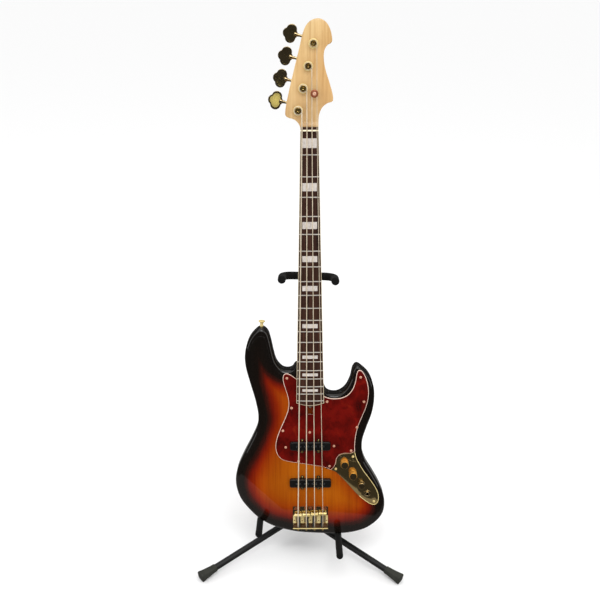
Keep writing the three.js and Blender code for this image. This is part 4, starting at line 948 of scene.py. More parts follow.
# ---------- fretboard ----------
def board_outline(shrink):
    end = HEEL_WIDTH / 2 - shrink
    places = [-end + 2 * end * i / 32 for i in range(33)]
    heel = [(x, BOARD_END + shrink + BOARD_BULGE * (x / (HEEL_WIDTH / 2)) ** 2) for x in places]
    top = neck_width(SCALE) / 2 - shrink
    return heel + [(top, BOARD_HEAD_END - 0.1), (-top, BOARD_HEAD_END - 0.1)]


def crowned(shrink, top_drop, bottom):
    """A board of the fretboard's outline, made smaller all round, whose top follows the camber."""
    places = [-36 + 72 * i / 48 for i in range(49)]
    section = [(x, crown(x) - top_drop) for x in places] + [(36, bottom), (-36, bottom)]
    bar = loft([[(x, u, n) for x, n in section] for u in (240, 900)])
    return combine(prism(board_outline(shrink), bottom - 1, 14, 0, 1), bar, operation="INTERSECT")


def fret_wire(number, steps=12, bead=1.15):
    u = fret_u(number)
    half = neck_width(u) / 2 - 0.9
    sections = []
    for k in range(steps + 1):
        x = -half + 2 * half * k / steps
        tall = bead * (0.9 if 0 < k < steps else 0.45)
        turns = np.linspace(0, math.pi, 9)
        sections.append([(x, u + bead * math.cos(a), crown(x) - 0.25 + tall * math.sin(a)) for a in turns])
    return loft(sections)


def marker_block(k):
    """The bar that a marker fills, between its fret's wire and the one before."""
    u0, u1 = fret_u(k), fret_u(k - 1)
    middle, room = (u0 + u1) / 2, u1 - u0
    wide = 30 + 5 * (SCALE - middle) / 600
    return prism(round_rect(0, middle, wide, room * (0.41 - 0.004 * k), 0.5, 2), 7, 14, 0, 1)


def fretboard():
    binding = 0.9
    nut_room = box(-30, 30, SCALE - GAP, SCALE + 3.2 + GAP, 7, 20)
    rim = combine(crowned(0, 0.0, BOARD_BOTTOM), prism(board_outline(binding), 0, 20, 0, 1), nut_room)
    blocks = joined(*[marker_block(k) for k in (1, 3, 5, 7, 9, 12, 15, 17, 19)])
    inlays = combine(crowned(binding + 1, -0.03, 7), blocks, operation="INTERSECT")
    core = combine(crowned(binding + 0.02, 0.02, BOARD_BOTTOM), nut_room, blocks)
    piece("fretboard_wood", core, ROSEWOOD, ["fretboard"], angle=28)
    piece("fretboard_binding", rim, BINDING, angle=28)
    piece("fret_markers", inlays, PEARL, angle=28)
    wires = joined(*[fret_wire(k) for k in range(1, FRET_COUNT + 1)])
    piece("fret_wires", wires, NICKEL, angle=50)
    piece("nut_piece", from_cad("nut"), CREAM, ["nut"], bevel=0.35)


fretboard()


# ---------- screws, guard and control plate ----------
def screw_head(radius, height=1.1, cross=0.62):
    """A domed cross-slotted screw head standing on n = 0."""
    dome = [(radius * math.cos(a), height * (0.25 + 0.75 * math.sin(a))) for a in np.linspace(0.15, 1.4, 7)]
    profile = [(0, -0.2), (radius, -0.2), (radius, 0), (radius, 0.25 * height)] + dome + [(0, height)]
    long, half, floor_n = cross * radius, 0.14 * radius, 0.35 * height
    slots = union(box(-long, long, -half, half, floor_n, 3), box(-half, half, -long, long, floor_n, 3))
    return combine(lathe(profile, segments=28), slots)


def screws(places, n, radius, height=1.1):
    """Heads that face out of the guitar's face, each turned by a different angle."""
    head = screw_head(radius, height)
    return joined(*[moved(turned_about_n(head, 0.7 + 1.3 * k), (*at, n)) for k, at in enumerate(places)])


def back_screws(places, n, radius, height):
    """Heads that face backward."""
    return joined(*[turned_to(screw_head(radius, height), (*at, n), (0, 0, -1)) for at in places])


def pickguard():
    seam = [(x - 0.25, u + 0.25) for x, u in catmull(SEAM, 28)]
    outline = anticlockwise(catmull(GUARD_LEFT, 88) + seam + catmull(GUARD_RIGHT, 80))
    end = HEEL_WIDTH / 2 + 0.5
    curve = [(x, 260.2 + 3.7 * (x / end) ** 2) for x in np.linspace(-end, end, 25)]
    openings = [
        prism([(-end + 2.4, 345)] + curve + [(end - 2.4, 345)], -1, 6, 0, 1),
        box(-5.5, 5.5, 238, 262, -1, 6),
        prism(round_rect(0, NECK_PICKUP_U, NECK_COVER + 0.8, COVER_WIDTH + 0.8, 4.9), -1, 6, 0, 1),
    ]

    def layer(*levels):
        shape = loft([[(x, u, n) for x, u in inset(outline, amount)] for n, amount in levels])
        return combine(shape, *openings)

    piece("guard_ply", layer((GAP, 0), (1.0, 0), (2.1, 1.15), (2.1, 1.2)), PLY)
    piece("guard_top", layer((2.1, 1.15), (GUARD_TOP, 1.5)), TORTOISE, ["pickguard"])
    piece("guard_screws", screws(GUARD_SCREWS, GUARD_TOP - 0.1, 2.9), ROSE_GOLD)


def control_plate():
    """The plate, its screws and a pale gold bead along its right edge and tip, a painted highlight for light
    caught on that edge.
    """
    outline = [(x + 0.25, u - 0.15) for x, u in catmull(PLATE_EDGE, 84) + catmull(SEAM, 28)]
    shape = prism(outline, GAP, PLATE_TOP, 0.6, 3, low_edge=0.1)
    holes = [(x, u, 5) for x, u, _, _ in KNOBS] + [(*JACK, 5.1)]
    shape = combine(shape, *[rod(r, 0, 8, (x, u, -3)) for x, u, r in holes])
    piece("control_plate_gold", shape, PLATED, ["control_plate"], angle=28)
    heads = screws([(58.5, 106), (97.5, 136), (146.5, 26)], PLATE_TOP - 0.1, 2.9)
    piece("control_plate_screws", heads, SATIN_AND_HIGHLIGHT_GOLD)
    # Painted highlight: a pale bead laid only on the run of the edge that catches light.
    highlight_run = inset(anticlockwise(outline), 0.85)[-58:]
    bead = sweep([(x, u, PLATE_TOP - 0.3) for x, u in highlight_run], 0.8, 12, dome=0.7)
    piece("control_plate_painted_highlight", bead, SATIN_AND_HIGHLIGHT_GOLD, angle=60)


pickguard()
control_plate()


# ---------- knobs and output jack ----------
def knurl(count, depth, low, high):
    return lambda a, h: 1 + depth * math.cos(count * a) if low < h < high else 1


def control_knob(i):
    x, u, r, h = KNOBS[i]
    name = f"knob_{i + 1}"
    at = (x, u, KNOB_BASE)
    corners = [
        (3.3, 0.2), (r, 0.2), (r, 2.2), (r - 0.4, 2.7), (r - 0.45, 4.2), (r - 0.3, 4.4), (r - 0.3, 4.6),
        (r - 0.42, h - 3.2), (r - 0.42, h - 3.0), (r - 0.6, h - 2.6), (r - 0.6, h - 1.6), (r - 1.2, h - 0.65),
        (0, h - 0.65),
    ]
    outside = lathe(rounded(corners, 0.3, 2), at, segments=144, ripple=knurl(36, 0.022, 4.3, h - 3.05))
    inside = lathe([(3.3, 0.2), (3.3, h - 5), (0, h - 5)], at, segments=144)
    # The first two knobs get the bright orange gold and the third the darker gold: painted light and painted
    # shade, since all three are the same plated part.
    look = SHADED_GOLD if i == 2 else KNOB_GOLD
    piece(f"{name}_gold", joined(outside, inside), look, [name], name, angle=32)
    # The flat top is a separate disc in the darker gold: a painted reflection of the dark room over a top of
    # the same gold.
    disc = rounded([(0, h - 0.6), (r - 1.4, h - 0.6), (r - 1.4, h - 0.05), (r - 1.8, h), (0, h)], 0.12, 2)
    piece(f"{name}_cap", lathe(disc, at, segments=72), SHADED_GOLD, body=name)
    out = (0.94, 0.34, 0)
    screw_at = (x + (r - 0.25) * out[0], u + (r - 0.25) * out[1], KNOB_BASE + 3.4)
    screw = lathe([(0, 0), (0.9, 0), (0.9, 0.35), (0.45, 0.35), (0.45, 0.1), (0, 0.1)], screw_at, out, 20)
    piece(f"{name}_set_screw", screw, STEEL, body=name)


def pot(i):
    x, u, _, h = KNOBS[i]
    top = KNOB_BASE + h - 5.5
    can = [(0, -13), (12, -13), (12, -3), (4.7, -3), (4.7, 1.4), (3, 1.4), (3, top), (0, top)]
    shape = lathe(rounded(can, 0.5), (x, u, 0), segments=48)
    piece(f"pot_{i + 1}_can", shape, STEEL, [f"pot_{i + 1}"])


def output_jack():
    top = PLATE_TOP + GAP
    profile = [
        (3.2, -20), (8, -20), (8, -17), (4.7, -17), (4.7, top), (8, top), (8, top + 0.5), (7.7, top + 0.9),
        (4.9, top + 0.9), (4.9, top + 4), (4.5, top + 4.4), (3.6, top + 4.4), (3.2, top + 4), (3.2, -20),
    ]
    hexagon = [(6.5 * math.cos(a), 6.5 * math.sin(a)) for a in np.arange(6) * math.pi / 3 + 0.2]
    nut = combine(prism(hexagon, top + 1, top + 3.1, 0.3, 2), rod(4.95, 0, 9))
    shape = joined(lathe(rounded(profile, 0.25, 2), (*JACK, 0), segments=48), moved(nut, (*JACK, 0)))
    # The jack is in the darker gold: painted shade for its dark reflection.
    piece("output_jack_gold", shape, SHADED_GOLD, ["output_jack"])


for number in range(3):
    control_knob(number)
    pot(number)
output_jack()


# ---------- pickups ----------
def pickup(name, u, length, ear_top):
    ear_x, ear_u = 18.5, 13
    cover = prism(round_rect(0, u, length, COVER_WIDTH, 4.5, 8), -14, PICKUP_TOP, 1.6, 4)
    ears = [
        prism(stadium(x, u - ear_u, x, u + ear_u, 4.2, 10), ear_top - 2.4, ear_top, 0.7, 2)
        for x in (-ear_x, ear_x)
    ]
    piece(f"{name}_cover", union(cover, joined(*ears)), BLACK, [name])
    profile = rounded([(0, 0), (2.4, 0), (2.4, 1.25), (0, 1.3)], 0.35)
    tops = [(string_x(i, u) + side * 3.9, u, PICKUP_TOP - 0.5) for i in range(4) for side in (-1, 1)]
    piece(f"{name}_poles", joined(*[lathe(profile, at, segments=28) for at in tops]), POLE)
    places = [(x, u + du) for x in (-ear_x, ear_x) for du in (-ear_u, ear_u)]
    piece(f"{name}_screws", screws(places, ear_top - 0.1, 2.3, 0.9), GOLD)


pickup("neck_pickup", NECK_PICKUP_U, NECK_COVER, GUARD_TOP + GAP + 2.4)
pickup("bridge_pickup", BRIDGE_PICKUP_U, BRIDGE_COVER, GAP + 2.4)


# ---------- bridge ----------
def helix(start, direction, radius, length, turns, per_turn=16):
    """Points of a coil wound round an axis."""
    q = Vector((0, 0, 1)).rotation_difference(Vector(direction))
    out = []
    for k in range(int(turns * per_turn) + 1):
        a = 2 * math.pi * k / per_turn
        p = Vector((radius * math.cos(a), radius * math.sin(a), length * k / (turns * per_turn)))
        out.append(tuple(q @ p + Vector(start)))
    return out


def bridge():
    """A notched base plate, raised rails between the strings and the upright lip behind them. The base is in
    the darker gold and the rails in pale gold: painted shade along the string lines and painted highlight
    between them, on what is one plated part.
    """
    lip_inside = BRIDGE_LIP + 2.2
    bend_end = lip_inside + 2.2
    corners = [(x, u) for x, u in ((-1, bend_end), (1, bend_end), (1, BRIDGE_FRONT), (-1, BRIDGE_FRONT))]
    base = prism([(x * BRIDGE_HALF, u) for x, u in corners], GAP, BRIDGE_TOP, 0, 1)
    notches = [box(x - 3.4, x + 3.4, 4.5, BRIDGE_FRONT + 1, 0, 4) for x in SADDLE_X]
    # The base plate in the darker gold: painted shade along the string lines.
    piece("bridge_base", combine(base, joined(*notches)), SHADED_GOLD, ["bridge_plate"], bevel=0.35)

    bend, corner = 1.6, 2
    turns = np.linspace(0, math.pi / 2, 7)
    profile = [(bend_end - 0.02, GAP), (bend_end - 0.02, BRIDGE_TOP)]
    profile += [(lip_inside + bend * (1 - math.sin(a)), BRIDGE_TOP + bend * (1 - math.cos(a))) for a in turns]
    profile += [(lip_inside, LIP_TOP - 1.3), (BRIDGE_LIP, LIP_TOP - 1.3)]
    profile += [(BRIDGE_LIP + corner * (1 - math.cos(a)), GAP + corner * (1 - math.sin(a))) for a in turns]
    lip = loft([[(x, u, n) for u, n in profile] for x in (-BRIDGE_HALF, BRIDGE_HALF)])
    for x, r in zip(SADDLE_X, STRING_RADII):
        lip = combine(lip, rod(r + 0.5, 0, 12, (x, BRIDGE_LIP - 4, 6.6), (0, 10, 2.2), 20))
    # The lip's body is in dark brown gold and its top strip in pale gold: painted shade and painted highlight
    # on one bent plate.
    piece("bridge_lip", lip, SHADED_LIP_GOLD, bevel=0.35)
    edge = box(-BRIDGE_HALF, BRIDGE_HALF, BRIDGE_LIP, lip_inside, LIP_TOP - 1.29, LIP_TOP)
    piece("bridge_lip_edge", edge, SATIN_AND_HIGHLIGHT_GOLD, bevel=0.45)

    low, high = BRIDGE_TOP - 0.05, BRIDGE_TOP + 2.2
    widths = ((-37, 6.4), (-19, 8.8), (0, 8.8), (19, 8.8), (37.7, 5))
    # Pale gold rails: painted highlight where the plate catches light between the strings.
    rails = [prism(round_rect(x, -18, wide, 19, 1.6, 4), low, high, 0.9, 4, low_edge=0) for x, wide in widths]
    piece("bridge_rails", joined(*rails), SATIN_AND_HIGHLIGHT_GOLD)
    dots = screws([(-37, -20), (-19, -21), (0, -20), (19, -21), (37.7, -20)], BRIDGE_TOP + 2.1, 1.5, 0.6)
    piece("bridge_rail_screws", dots, COPPER)
    piece("bridge_screws", screws([(-34.5, 8), (0, 9), (34.5, 8)], BRIDGE_TOP - 0.1, 3.2), COPPER)


def saddle_barrel(at):
    """A barrel with fine grooves, lying across the strings."""
    rim, groove, last = BARREL - 0.1, BARREL - 0.55, 7.9
    profile = [(0, -8.8), (BARREL - 0.5, -8.8), (rim, -8.3)]
    h = -last
    while h < last:
        profile += [(rim, h), (rim, h + 0.35), (groove, h + 0.6), (groove, h + 0.75)]
        h += 1.0
    profile += [(rim, 8.3), (BARREL - 0.5, 8.8), (0, 8.8)]
    return lathe(profile, at, (1, 0, 0))


def height_screw(at, barrel_height):
    """A threaded screw with a hollow top that holds its barrel up."""
    profile, h = [(0, 0)], 0.0
    while h < barrel_height - 1:
        profile += [(1.5, h + 0.1), (1.25, h + 0.35)]
        h += 0.5
    top = barrel_height + 4.6
    hollow = barrel_height + BRIDGE_TOP + GAP - 3
    profile += [(1.3, top), (0.75, top), (0.75, hollow), (0, hollow)]
    return lathe(profile, at, segments=20)


def saddle(i):
    name = f"saddle_{i + 1}"
    x, u = SADDLE_X[i], SADDLE_U[i]
    n = SADDLE_TOP - GAP - BARREL
    foot = BRIDGE_TOP + GAP
    parts = [saddle_barrel((x, u, n))] + [height_screw((x + dx, u, foot), n - foot) for dx in (-6, 6)]
    piece(f"{name}_barrel", joined(*parts), PALE_GOLD, [name], angle=40)
    # The intonation screw and its spring are real steel parts, made this dark as painted shade along the
    # string line above them.
    screw_x = x + (3.1 if i < 2 else -3.1)
    back = BRIDGE_LIP - 0.1
    profile = rounded([(0, 0), (0, 0), (2.5, 0.2), (2.5, 1.2), (1.4, 1.5), (0, 1.5)], 0.3, 2)
    head = lathe(profile, (screw_x, back, n), (0, -1, 0), 28)
    shank = sweep([(screw_x, back + 0.5, n), (screw_x, u - BARREL + 0.6, n)], 1.2, 16)
    piece(f"{name}_screw", joined(head, shank), POLE, angle=40)
    start = BRIDGE_LIP + 2.6
    coil = helix((screw_x, start, n), (0, 1, 0), 1.85, u - BARREL - 0.4 - start, 11)
    piece(f"{name}_spring", sweep(coil, 0.36, 8), POLE, angle=80)


bridge()
for number in range(4):
    saddle(number)


# ---------- tuners ----------
def tuner_point(i, d, side=0.0):
    """Point along a key's shaft: d outward from the gear, side across it."""
    x, u = POSTS[i]
    gear_x, gear_u = x + KEY_AXIS[1] * KEY_OFFSET, u - KEY_AXIS[0] * KEY_OFFSET
    return gear_x + KEY_AXIS[0] * d - KEY_AXIS[1] * side, gear_u + KEY_AXIS[1] * d + KEY_AXIS[0] * side


def clover(i, count=120):
    """Outline of the four-lobed finger key: the farthest lobe along each ray from its centre."""
    centre = np.array((KEY_CENTRE, 0.0))
    lobes = [((50.3, 8.4), 10.9), ((50.3, -8.4), 10.9), ((56.9, 0), 10.6), ((46, 0), 9.8)]
    turns = np.arange(count) / count * 2 * math.pi
    radii = []
    for a in turns:
        ray = np.array((math.cos(a), math.sin(a)))
        best = 0.0
        for at, r in lobes:
            to = np.array(at) - centre
            along = to @ ray
            gap = r * r - (to @ to - along * along)
            if gap > 0:
                best = max(best, along + math.sqrt(gap))
        radii.append(best)
    radii = np.array(radii)
    radii = (np.roll(radii, 1) + 2 * radii + np.roll(radii, -1)) / 4
    rim = [(KEY_CENTRE - 0.05 + r * math.cos(a), r * math.sin(a)) for a, r in zip(turns, radii)]
    return [tuner_point(i, d, side) for d, side in rim]


def tuner_key(i):
    """A flat clover blade with a small rim, on a stem with a collar."""
    leaf = anticlockwise(clover(i))
    half = 2.3
    levels = [(0.6, -half), (0.2, -2.15), (0.0, -1.8), (0.0, 0.0), (0.0, 1.8), (0.2, 2.15), (0.6, half)]
    edge = [[(x, u, KEY_N + n) for x, u in inset(leaf, amount)] for amount, n in levels]
    cx, cu = tuner_point(i, KEY_CENTRE)

    def shrunk(share, n):
        return [(cx + (x - cx) * share, cu + (u - cu) * share, KEY_N + n) for x, u, _ in edge[-1]]

    low = [shrunk(share, -half) for share in (0.2, 0.5, 0.8)]
    high = [shrunk(share, half) for share in (0.8, 0.5, 0.2)]
    corners = [
        (0, -6), (2.7, -6), (2.7, 20), (4.4, 20), (4.4, 23), (2.9, 23.6), (2.7, 31), (3.4, 36), (4.9, 42.5),
        (3.6, 44), (0, 44),
    ]
    axis = Vector((*KEY_AXIS, 0)).normalized()
    stem = lathe(rounded(corners, 0.5), (*tuner_point(i, 0), KEY_N), tuple(axis), 36)
    shape = union(stem, loft(low + edge + high))
    # The key is in the darker gold: painted shade and painted reflection of the dark room.
    piece(f"key_{i + 1}_gold", shape, SHADED_GOLD, [f"tuner_key_{i + 1}"], f"key_{i + 1}", angle=40)


def tuner_post(i):
    """The slotted post with its toothed wheel behind the head."""
    at = (*POSTS[i], 0)
    r, top = POST_RADIUS - 0.12, POST_TOP
    corners = [
        (0, -25.5), (7.8, -25.5), (7.8, -20.5), (4.6, -20.5), (4.6, -15), (r, -15), (r, 2), (r - 0.7, 4),
        (r - 0.9, 6.5), (r - 0.4, 9), (r, 9.6), (r, top - 0.1), (r - 0.6, top), (2.4, top), (2.2, top - 2.4),
        (0, top - 2.4),
    ]
    shape = lathe(rounded(corners, 0.35), at, segments=120, ripple=knurl(20, 0.05, -25.4, -20.6))
    groove = turned_about_n(box(-0.9, 0.9, -9, 9, top - 3, top + 2), 0.9 + 0.5 * i)
    shape = combine(shape, moved(groove, at))
    piece(f"post_{i + 1}_gold", shape, GOLD, [f"tuner_post_{i + 1}"], f"post_{i + 1}", angle=40)


def tuner_housing(i):
    x, u = POSTS[i]
    node = f"tuner_housing_{i + 1}"
    piece(f"tuner_{i + 1}_plate", from_cad(node), GOLD, [node], bevel=0.4)
    washer = ring((x, u, HEAD_FACE + 0.02), (0, 0, 1), 10.4, POST_RADIUS + 0.15, 1.6, 0.7, 64)
    piece(f"tuner_{i + 1}_washer", washer, SATIN_AND_HIGHLIGHT_GOLD, angle=50)
    places = [(x - 17.5, u + 19), (x + 7.5, u + 19), (x - 17.5, u - 11), (x + 7.5, u - 11)]
    heads = back_screws(places, HEAD_FACE - HEAD_THICK - 1.75, 1.9, 0.8)
    piece(f"tuner_{i + 1}_screws", heads, GOLD)


for number in range(4):
    tuner_key(number)
    tuner_post(number)
    tuner_housing(number)


# ---------- strings ----------
def guitar_string(i):
    """From its ball end over the saddle and the nut, under the retainer if thin, and twice round its post."""
    r = STRING_RADII[i]
    x0, u0 = SADDLE_X[i], SADDLE_U[i]
    px, pu = POSTS[i]
    wrap = POST_RADIUS + GAP + r
    nut_x = string_x(i, SCALE)
    path = [
        (x0, BRIDGE_LIP - 1.5, 6.6),
        (x0, u0 - 4.5, SADDLE_TOP + r - 1.05),
        (x0, u0 - 1.5, SADDLE_TOP + r - 0.15),
        (x0, u0 + 1, SADDLE_TOP + r),
        (nut_x, SCALE + 0.4, NUT_SLOT + r),
        (nut_x, SCALE + 3.4, NUT_SLOT + r - 0.2),
    ]
    wrap_top = 7.4
    if i >= 2:
        share = (RETAINER[1] - SCALE) / (pu - SCALE)
        x = NUT_X[i] + (px + wrap - NUT_X[i]) * share
        path += [(x, RETAINER[1] - 3, 5.3), (x, RETAINER[1] + 3, 5.2)]
        wrap_top = 5.6
    turns, per_turn = 2, 36
    for k in range(turns * per_turn + 1):
        a = 2 * math.pi * k / per_turn
        n = wrap_top - (2 * r + GAP) * k / per_turn
        path.append((px + wrap * math.cos(a), pu + wrap * math.sin(a), n))
    piece(f"string_{i + 1}_wire", sweep(path, r, 12), STRING, [f"string_{i + 1}"], angle=60)
    profile = rounded([(0, -2.6), (2.2, -2.4), (2.6, 0), (2.2, 2.4), (0, 2.6)], 0.6)
    piece(f"string_{i + 1}_ball", lathe(profile, (x0, BRIDGE_LIP - 3.1, 6.4), segments=28), GOLD)


for number in range(4):
    guitar_string(number)


# ---------- small fittings ----------
def string_retainer():
    at = (*RETAINER, 0)
    foot = HEAD_FACE + GAP
    corners = [
        (0, foot), (3, foot), (3, 6.9), (8, 6.9), (8.4, 7.6), (7.4, 9), (5.6, 9.5), (4.4, 9.1), (4.2, 8.8),
        (0, 8.8),
    ]
    slot = moved(turned_about_n(box(-0.5, 0.5, -3.4, 3.4, 10.1, 14), 0.6), at)
    shape = combine(lathe(rounded(corners), at, segments=56), slot)
    piece("string_retainer_disc", shape, COPPER, ["string_retainer"])
    button = rounded([(0, 9.0), (3.9, 9.0), (3.9, 10.2), (3.2, 11.05), (0, 11.1)], 0.3)
    piece("string_retainer_screw", combine(lathe(button, at), slot), ROSE_GOLD)


def strap_button(name, at, direction, size):
    profile = [
        (0, 0), (4.6, 0), (4.0, 1.2), (3.5, 3.5), (3.5, 7), (5.2, 9.2), (7.2, 10.4), (7.4, 12), (5.5, 13.2),
        (2.8, 13.5), (2.6, 12.9), (0, 12.9),
    ]
    scaled = rounded([(r * size, h * size) for r, h in profile], 0.5 * size)
    piece(f"{name}_gold", lathe(scaled, at, Vector(direction).normalized(), 44), SATIN_AND_HIGHLIGHT_GOLD, [name])


def neck_plate():
    back = -BODY_THICK
    plate = prism(round_rect(0, 305, 51, 64, 5, 8), back - 2.2, back - GAP, 0.1, 2, low_edge=0.6)
    piece("neck_plate_gold", plate, GOLD, ["neck_plate"])
    places = [(x, u) for x in (-18.5, 18.5) for u in (280, 330)]
    piece("neck_plate_screws", back_screws(places, back - 2.15, 4.2, 1.0), GOLD)


string_retainer()
strap_button("strap_button_upper", (-108, 437.6, -22), (0.05, 1, 0), 1)
strap_button("strap_button_lower", (-3, -57.6, -30), (0, -1, 0), 0.7)
neck_plate()
piece("truss_rod_end", from_cad("truss_rod_nut"), STEEL, ["truss_rod_nut"], bevel=0.4)


# ---------- stand: shaft, yoke and clamp ----------
UP = (0, 1, 0)


def tube_on_shaft(outer, inner, u0, u1):
    return ring((0, u0, SHAFT_N), UP, outer, inner, u1 - u0, 0.6, 56)


def yoke_path(tip):
    """The yoke's U, shortened at both ends by tip."""
    bend = 24
    front = YOKE_BAR_N + YOKE_REACH - tip
    side = [(-YOKE_HALF, YOKE_U, front), (-YOKE_HALF, YOKE_U, front - 6)]
    side += [(-YOKE_HALF, YOKE_U, n) for n in np.linspace(front - 10, YOKE_BAR_N + bend + 4, 5)]
    for a in np.linspace(0, math.pi / 2, 15):
        side.append((-YOKE_HALF + bend * (1 - math.cos(a)), YOKE_U, YOKE_BAR_N + bend * (1 - math.sin(a))))
    return side + [(0, YOKE_U, YOKE_BAR_N)] + [(-x, u, n) for x, u, n in side[::-1]]


def upper_stand():
    outer = tube_on_shaft(TUBE_RADIUS, TUBE_RADIUS - TUBE_WALL, TUBE_BOTTOM, TUBE_TOP)
    piece("upright_tube_steel", outer, POWDER, ["upright_tube"], "stand_base", SHAFT)
    inner = tube_on_shaft(INNER_RADIUS, INNER_RADIUS - 1.6, INNER_BOTTOM, YOKE_U + 8)
    piece("inner_tube_steel", inner, POWDER, ["inner_tube"], "neck_rest", SHAFT)
    for node, body_name in (("height_collar", "stand_base"), ("height_knob", "clamp_knob")):
        shape = from_cad(node, SHAFT, 2.5)
        piece(f"{node}_moulding", shape, MOULDED, [node], body_name, SHAFT, bevel=0.7, angle=32)

    at = (0, YOKE_U, SHAFT_N)
    wide = INNER_RADIUS + 3.6
    cap = rounded([(0, -14), (wide, -14), (wide, 12), (wide - 2, 15), (0, 15.6)], 1.2, 4)
    seat = rod(INNER_RADIUS + GAP, 0, 28 + GAP, (0, YOKE_U - 20, SHAFT_N), UP, 48)
    shape = combine(union(lathe(cap, at, UP, 56), rod(6, 0, YOKE_STUB, at)), seat)
    shape = union(shape, sweep(yoke_path(3), YOKE_ROD, 20))
    piece("yoke_steel", shape, POWDER, ["yoke"], "neck_rest", SHAFT, angle=40)

    sleeve = sweep(yoke_path(0), FOAM_RADIUS - 0.1, 28, dome=2.6)
    sleeve = combine(sleeve, sweep(yoke_path(2.4), YOKE_ROD + GAP, 16), rod(6 + GAP, 0, YOKE_STUB, at))
    piece("yoke_foam", sleeve, FOAM, ["yoke_pad"], "neck_rest", SHAFT, angle=40)


# ---------- stand: cradle, hub and legs ----------
def bezier(start, middle, end, t):
    return (1 - t) ** 2 * start + 2 * t * (1 - t) * middle + t * t * end


def arm_path(arm, tip):
    """From the pin outward and down, then round a knee and forward under the body."""
    ax, au, end = arm
    side = math.copysign(1, ax)
    corner, knee, last = np.array([(side * (abs(ax) - 12), au + 3, -53), (ax, au, -52), (ax, au, -38)])
    bend = [tuple(bezier(corner, knee, last, t)) for t in np.linspace(0, 1, 13)]
    start = [
        (side * ARM_PIN_X, ARM_PIN_U, ARM_PIN_N),
        (side * 37, ARM_PIN_U, ARM_PIN_N + 0.5),
        (side * 54, ARM_PIN_U + (au + 3 - ARM_PIN_U) * 0.42, -57),
        bend[0],
    ]
    return catmull(start, 24)[:-1] + bend + [(ax, au, n) for n in np.linspace(-30, end - tip, 5)]


def cradle_arm(name):
    ax, au, end = ARMS[name]
    moving = f"cradle_{name}"
    pin = (math.copysign(ARM_PIN_X, ax), ARM_PIN_U, ARM_PIN_N)
    eye = lathe(rounded([(0, -5), (7.6, -5), (7.6, 5), (0, 5)], 0.6), pin, UP)
    shape = combine(union(sweep(arm_path(ARMS[name], 3), ARM_ROD), eye), rod(3.8, -20, 20, pin, UP, 32))
    piece(f"cradle_arm_{name}_steel", shape, POWDER, [f"cradle_arm_{name}"], moving, SHAFT, angle=40)

    r, bore, long, crush = ARM_FOAM - 0.05, ARM_ROD + GAP, end + 36, 4.2
    profile = [(bore, 0), (r - 1, 0), (r, 1.4), (r, long - crush)]
    for a in np.linspace(0.2, math.pi / 2, 7):
        profile.append((r - 3.6 * (1 - math.cos(a)), long - crush + crush * math.sin(a)))
    profile += [(2.2, long), (1.9, long - 0.8), (0, long - 0.9)]
    profile += [(0, long - 2.7), (bore, long - 2.7), (bore, 0)]
    sleeve = lathe(profile, (ax, au, -36), segments=44)
    shown = piece(f"cradle_foam_{name}", sleeve, FOAM, [f"cradle_pad_{name}"], moving, SHAFT, angle=50)


def leg_bar(length):
    """A bar with a thin tongue and a drilled eye at its pivot."""
    section = round_rect(0, 0, LEG_WIDTH, LEG_HEIGHT, 2.2, 5)
    bar = loft([[(a, y, z) for y, z in section] for a in np.linspace(14, length - 4, 4)])
    half, tall = 4, LEG_HEIGHT / 2
    shape = union(bar, box(0, 20, -half, half, -tall, tall), rod(tall, -half, half, direction=UP))
    return combine(shape, rod(2.8, -20, 20, direction=UP, segments=32))


def boot_shape(place, length):
    """A flared rubber boot with a bead near its start, cut flat where it stands on the floor."""
    start = length - BOOT_LENGTH
    rings = [
        (start, 14.8, 12.8), (start + 0.5, 15.6, 13.6), (start + 2, 16.4, 14.4), (start + 8, 16.5, 14.5),
        (start + 9, 17.0, 15.0), (start + 10, 16.7, 14.7), (start + 24, 18.6, 16.8), (start + 34, 20.4, 18.8),
        (length - 3, 21.8, 20.3), (length - 1.2, 21.6, 20.1), (length - 0.3, 20.6, 19.0),
        (length - 0.05, 19.2, 17.6),
    ]
    outlines = [(a - 0.3, round_rect(0, 0, w - 0.3, h - 0.3, 4, 5)) for a, w, h in rings]
    shape = loft([[(a, y, z) for y, z in outline] for a, outline in outlines])
    w, h = LEG_WIDTH / 2 + GAP, LEG_HEIGHT / 2 + GAP
    below = place.inverted() @ Matrix.Translation((0, 0, -0.05)) @ Matrix.Scale(MM, 4)
    points, faces = box(-900, 900, -900, 900, -90, 50)
    ground = [tuple((below @ Vector(p)) / MM) for p in points], faces
    return combine(shape, box(0, length - 4 + GAP, -w, w, -h, h), ground)


def leg(name):
    place, length = leg_frame(name)
    body_name = f"leg_{name}"
    piece(f"leg_{name}_steel", leg_bar(length), POWDER, [f"leg_{name}"], body_name, place, angle=40)
    piece(f"boot_{name}", boot_shape(place, length), RUBBER, [f"foot_{name}"], body_name, place, angle=40)


upper_stand()
for arm_name in ARMS:
    cradle_arm(arm_name)
for leg_name in ("left", "right", "rear"):
    leg(leg_name)
HERE = Matrix.Identity(4)
piece("hub_casting", from_cad("hub", HERE, 2.5), POWDER, ["hub"], "stand_base", HERE, bevel=0.7, angle=32)


# ---------- light, floor and finish ----------
STUDIO = 1.08
DARK_ROOM = 0.05
PAPER_GLOW = 0.3
BRIGHT_CEILING = 1.3
CEILING_START, CEILING_FULL = 0.45, 0.8
PAPER_RADIUS = 0.62


def emission(name, colour, strength):
    """A material that only shines."""
    material = bpy.data.materials.new(name)
    material.use_nodes = True
    tree = material.node_tree
    tree.nodes.remove(tree.nodes["Principled BSDF"])
    glow = add_node(tree, "ShaderNodeEmission", {"Color": (*colour, 1), "Strength": strength})
    tree.links.new(glow.outputs[0], tree.nodes["Material Output"].inputs["Surface"])
    return material


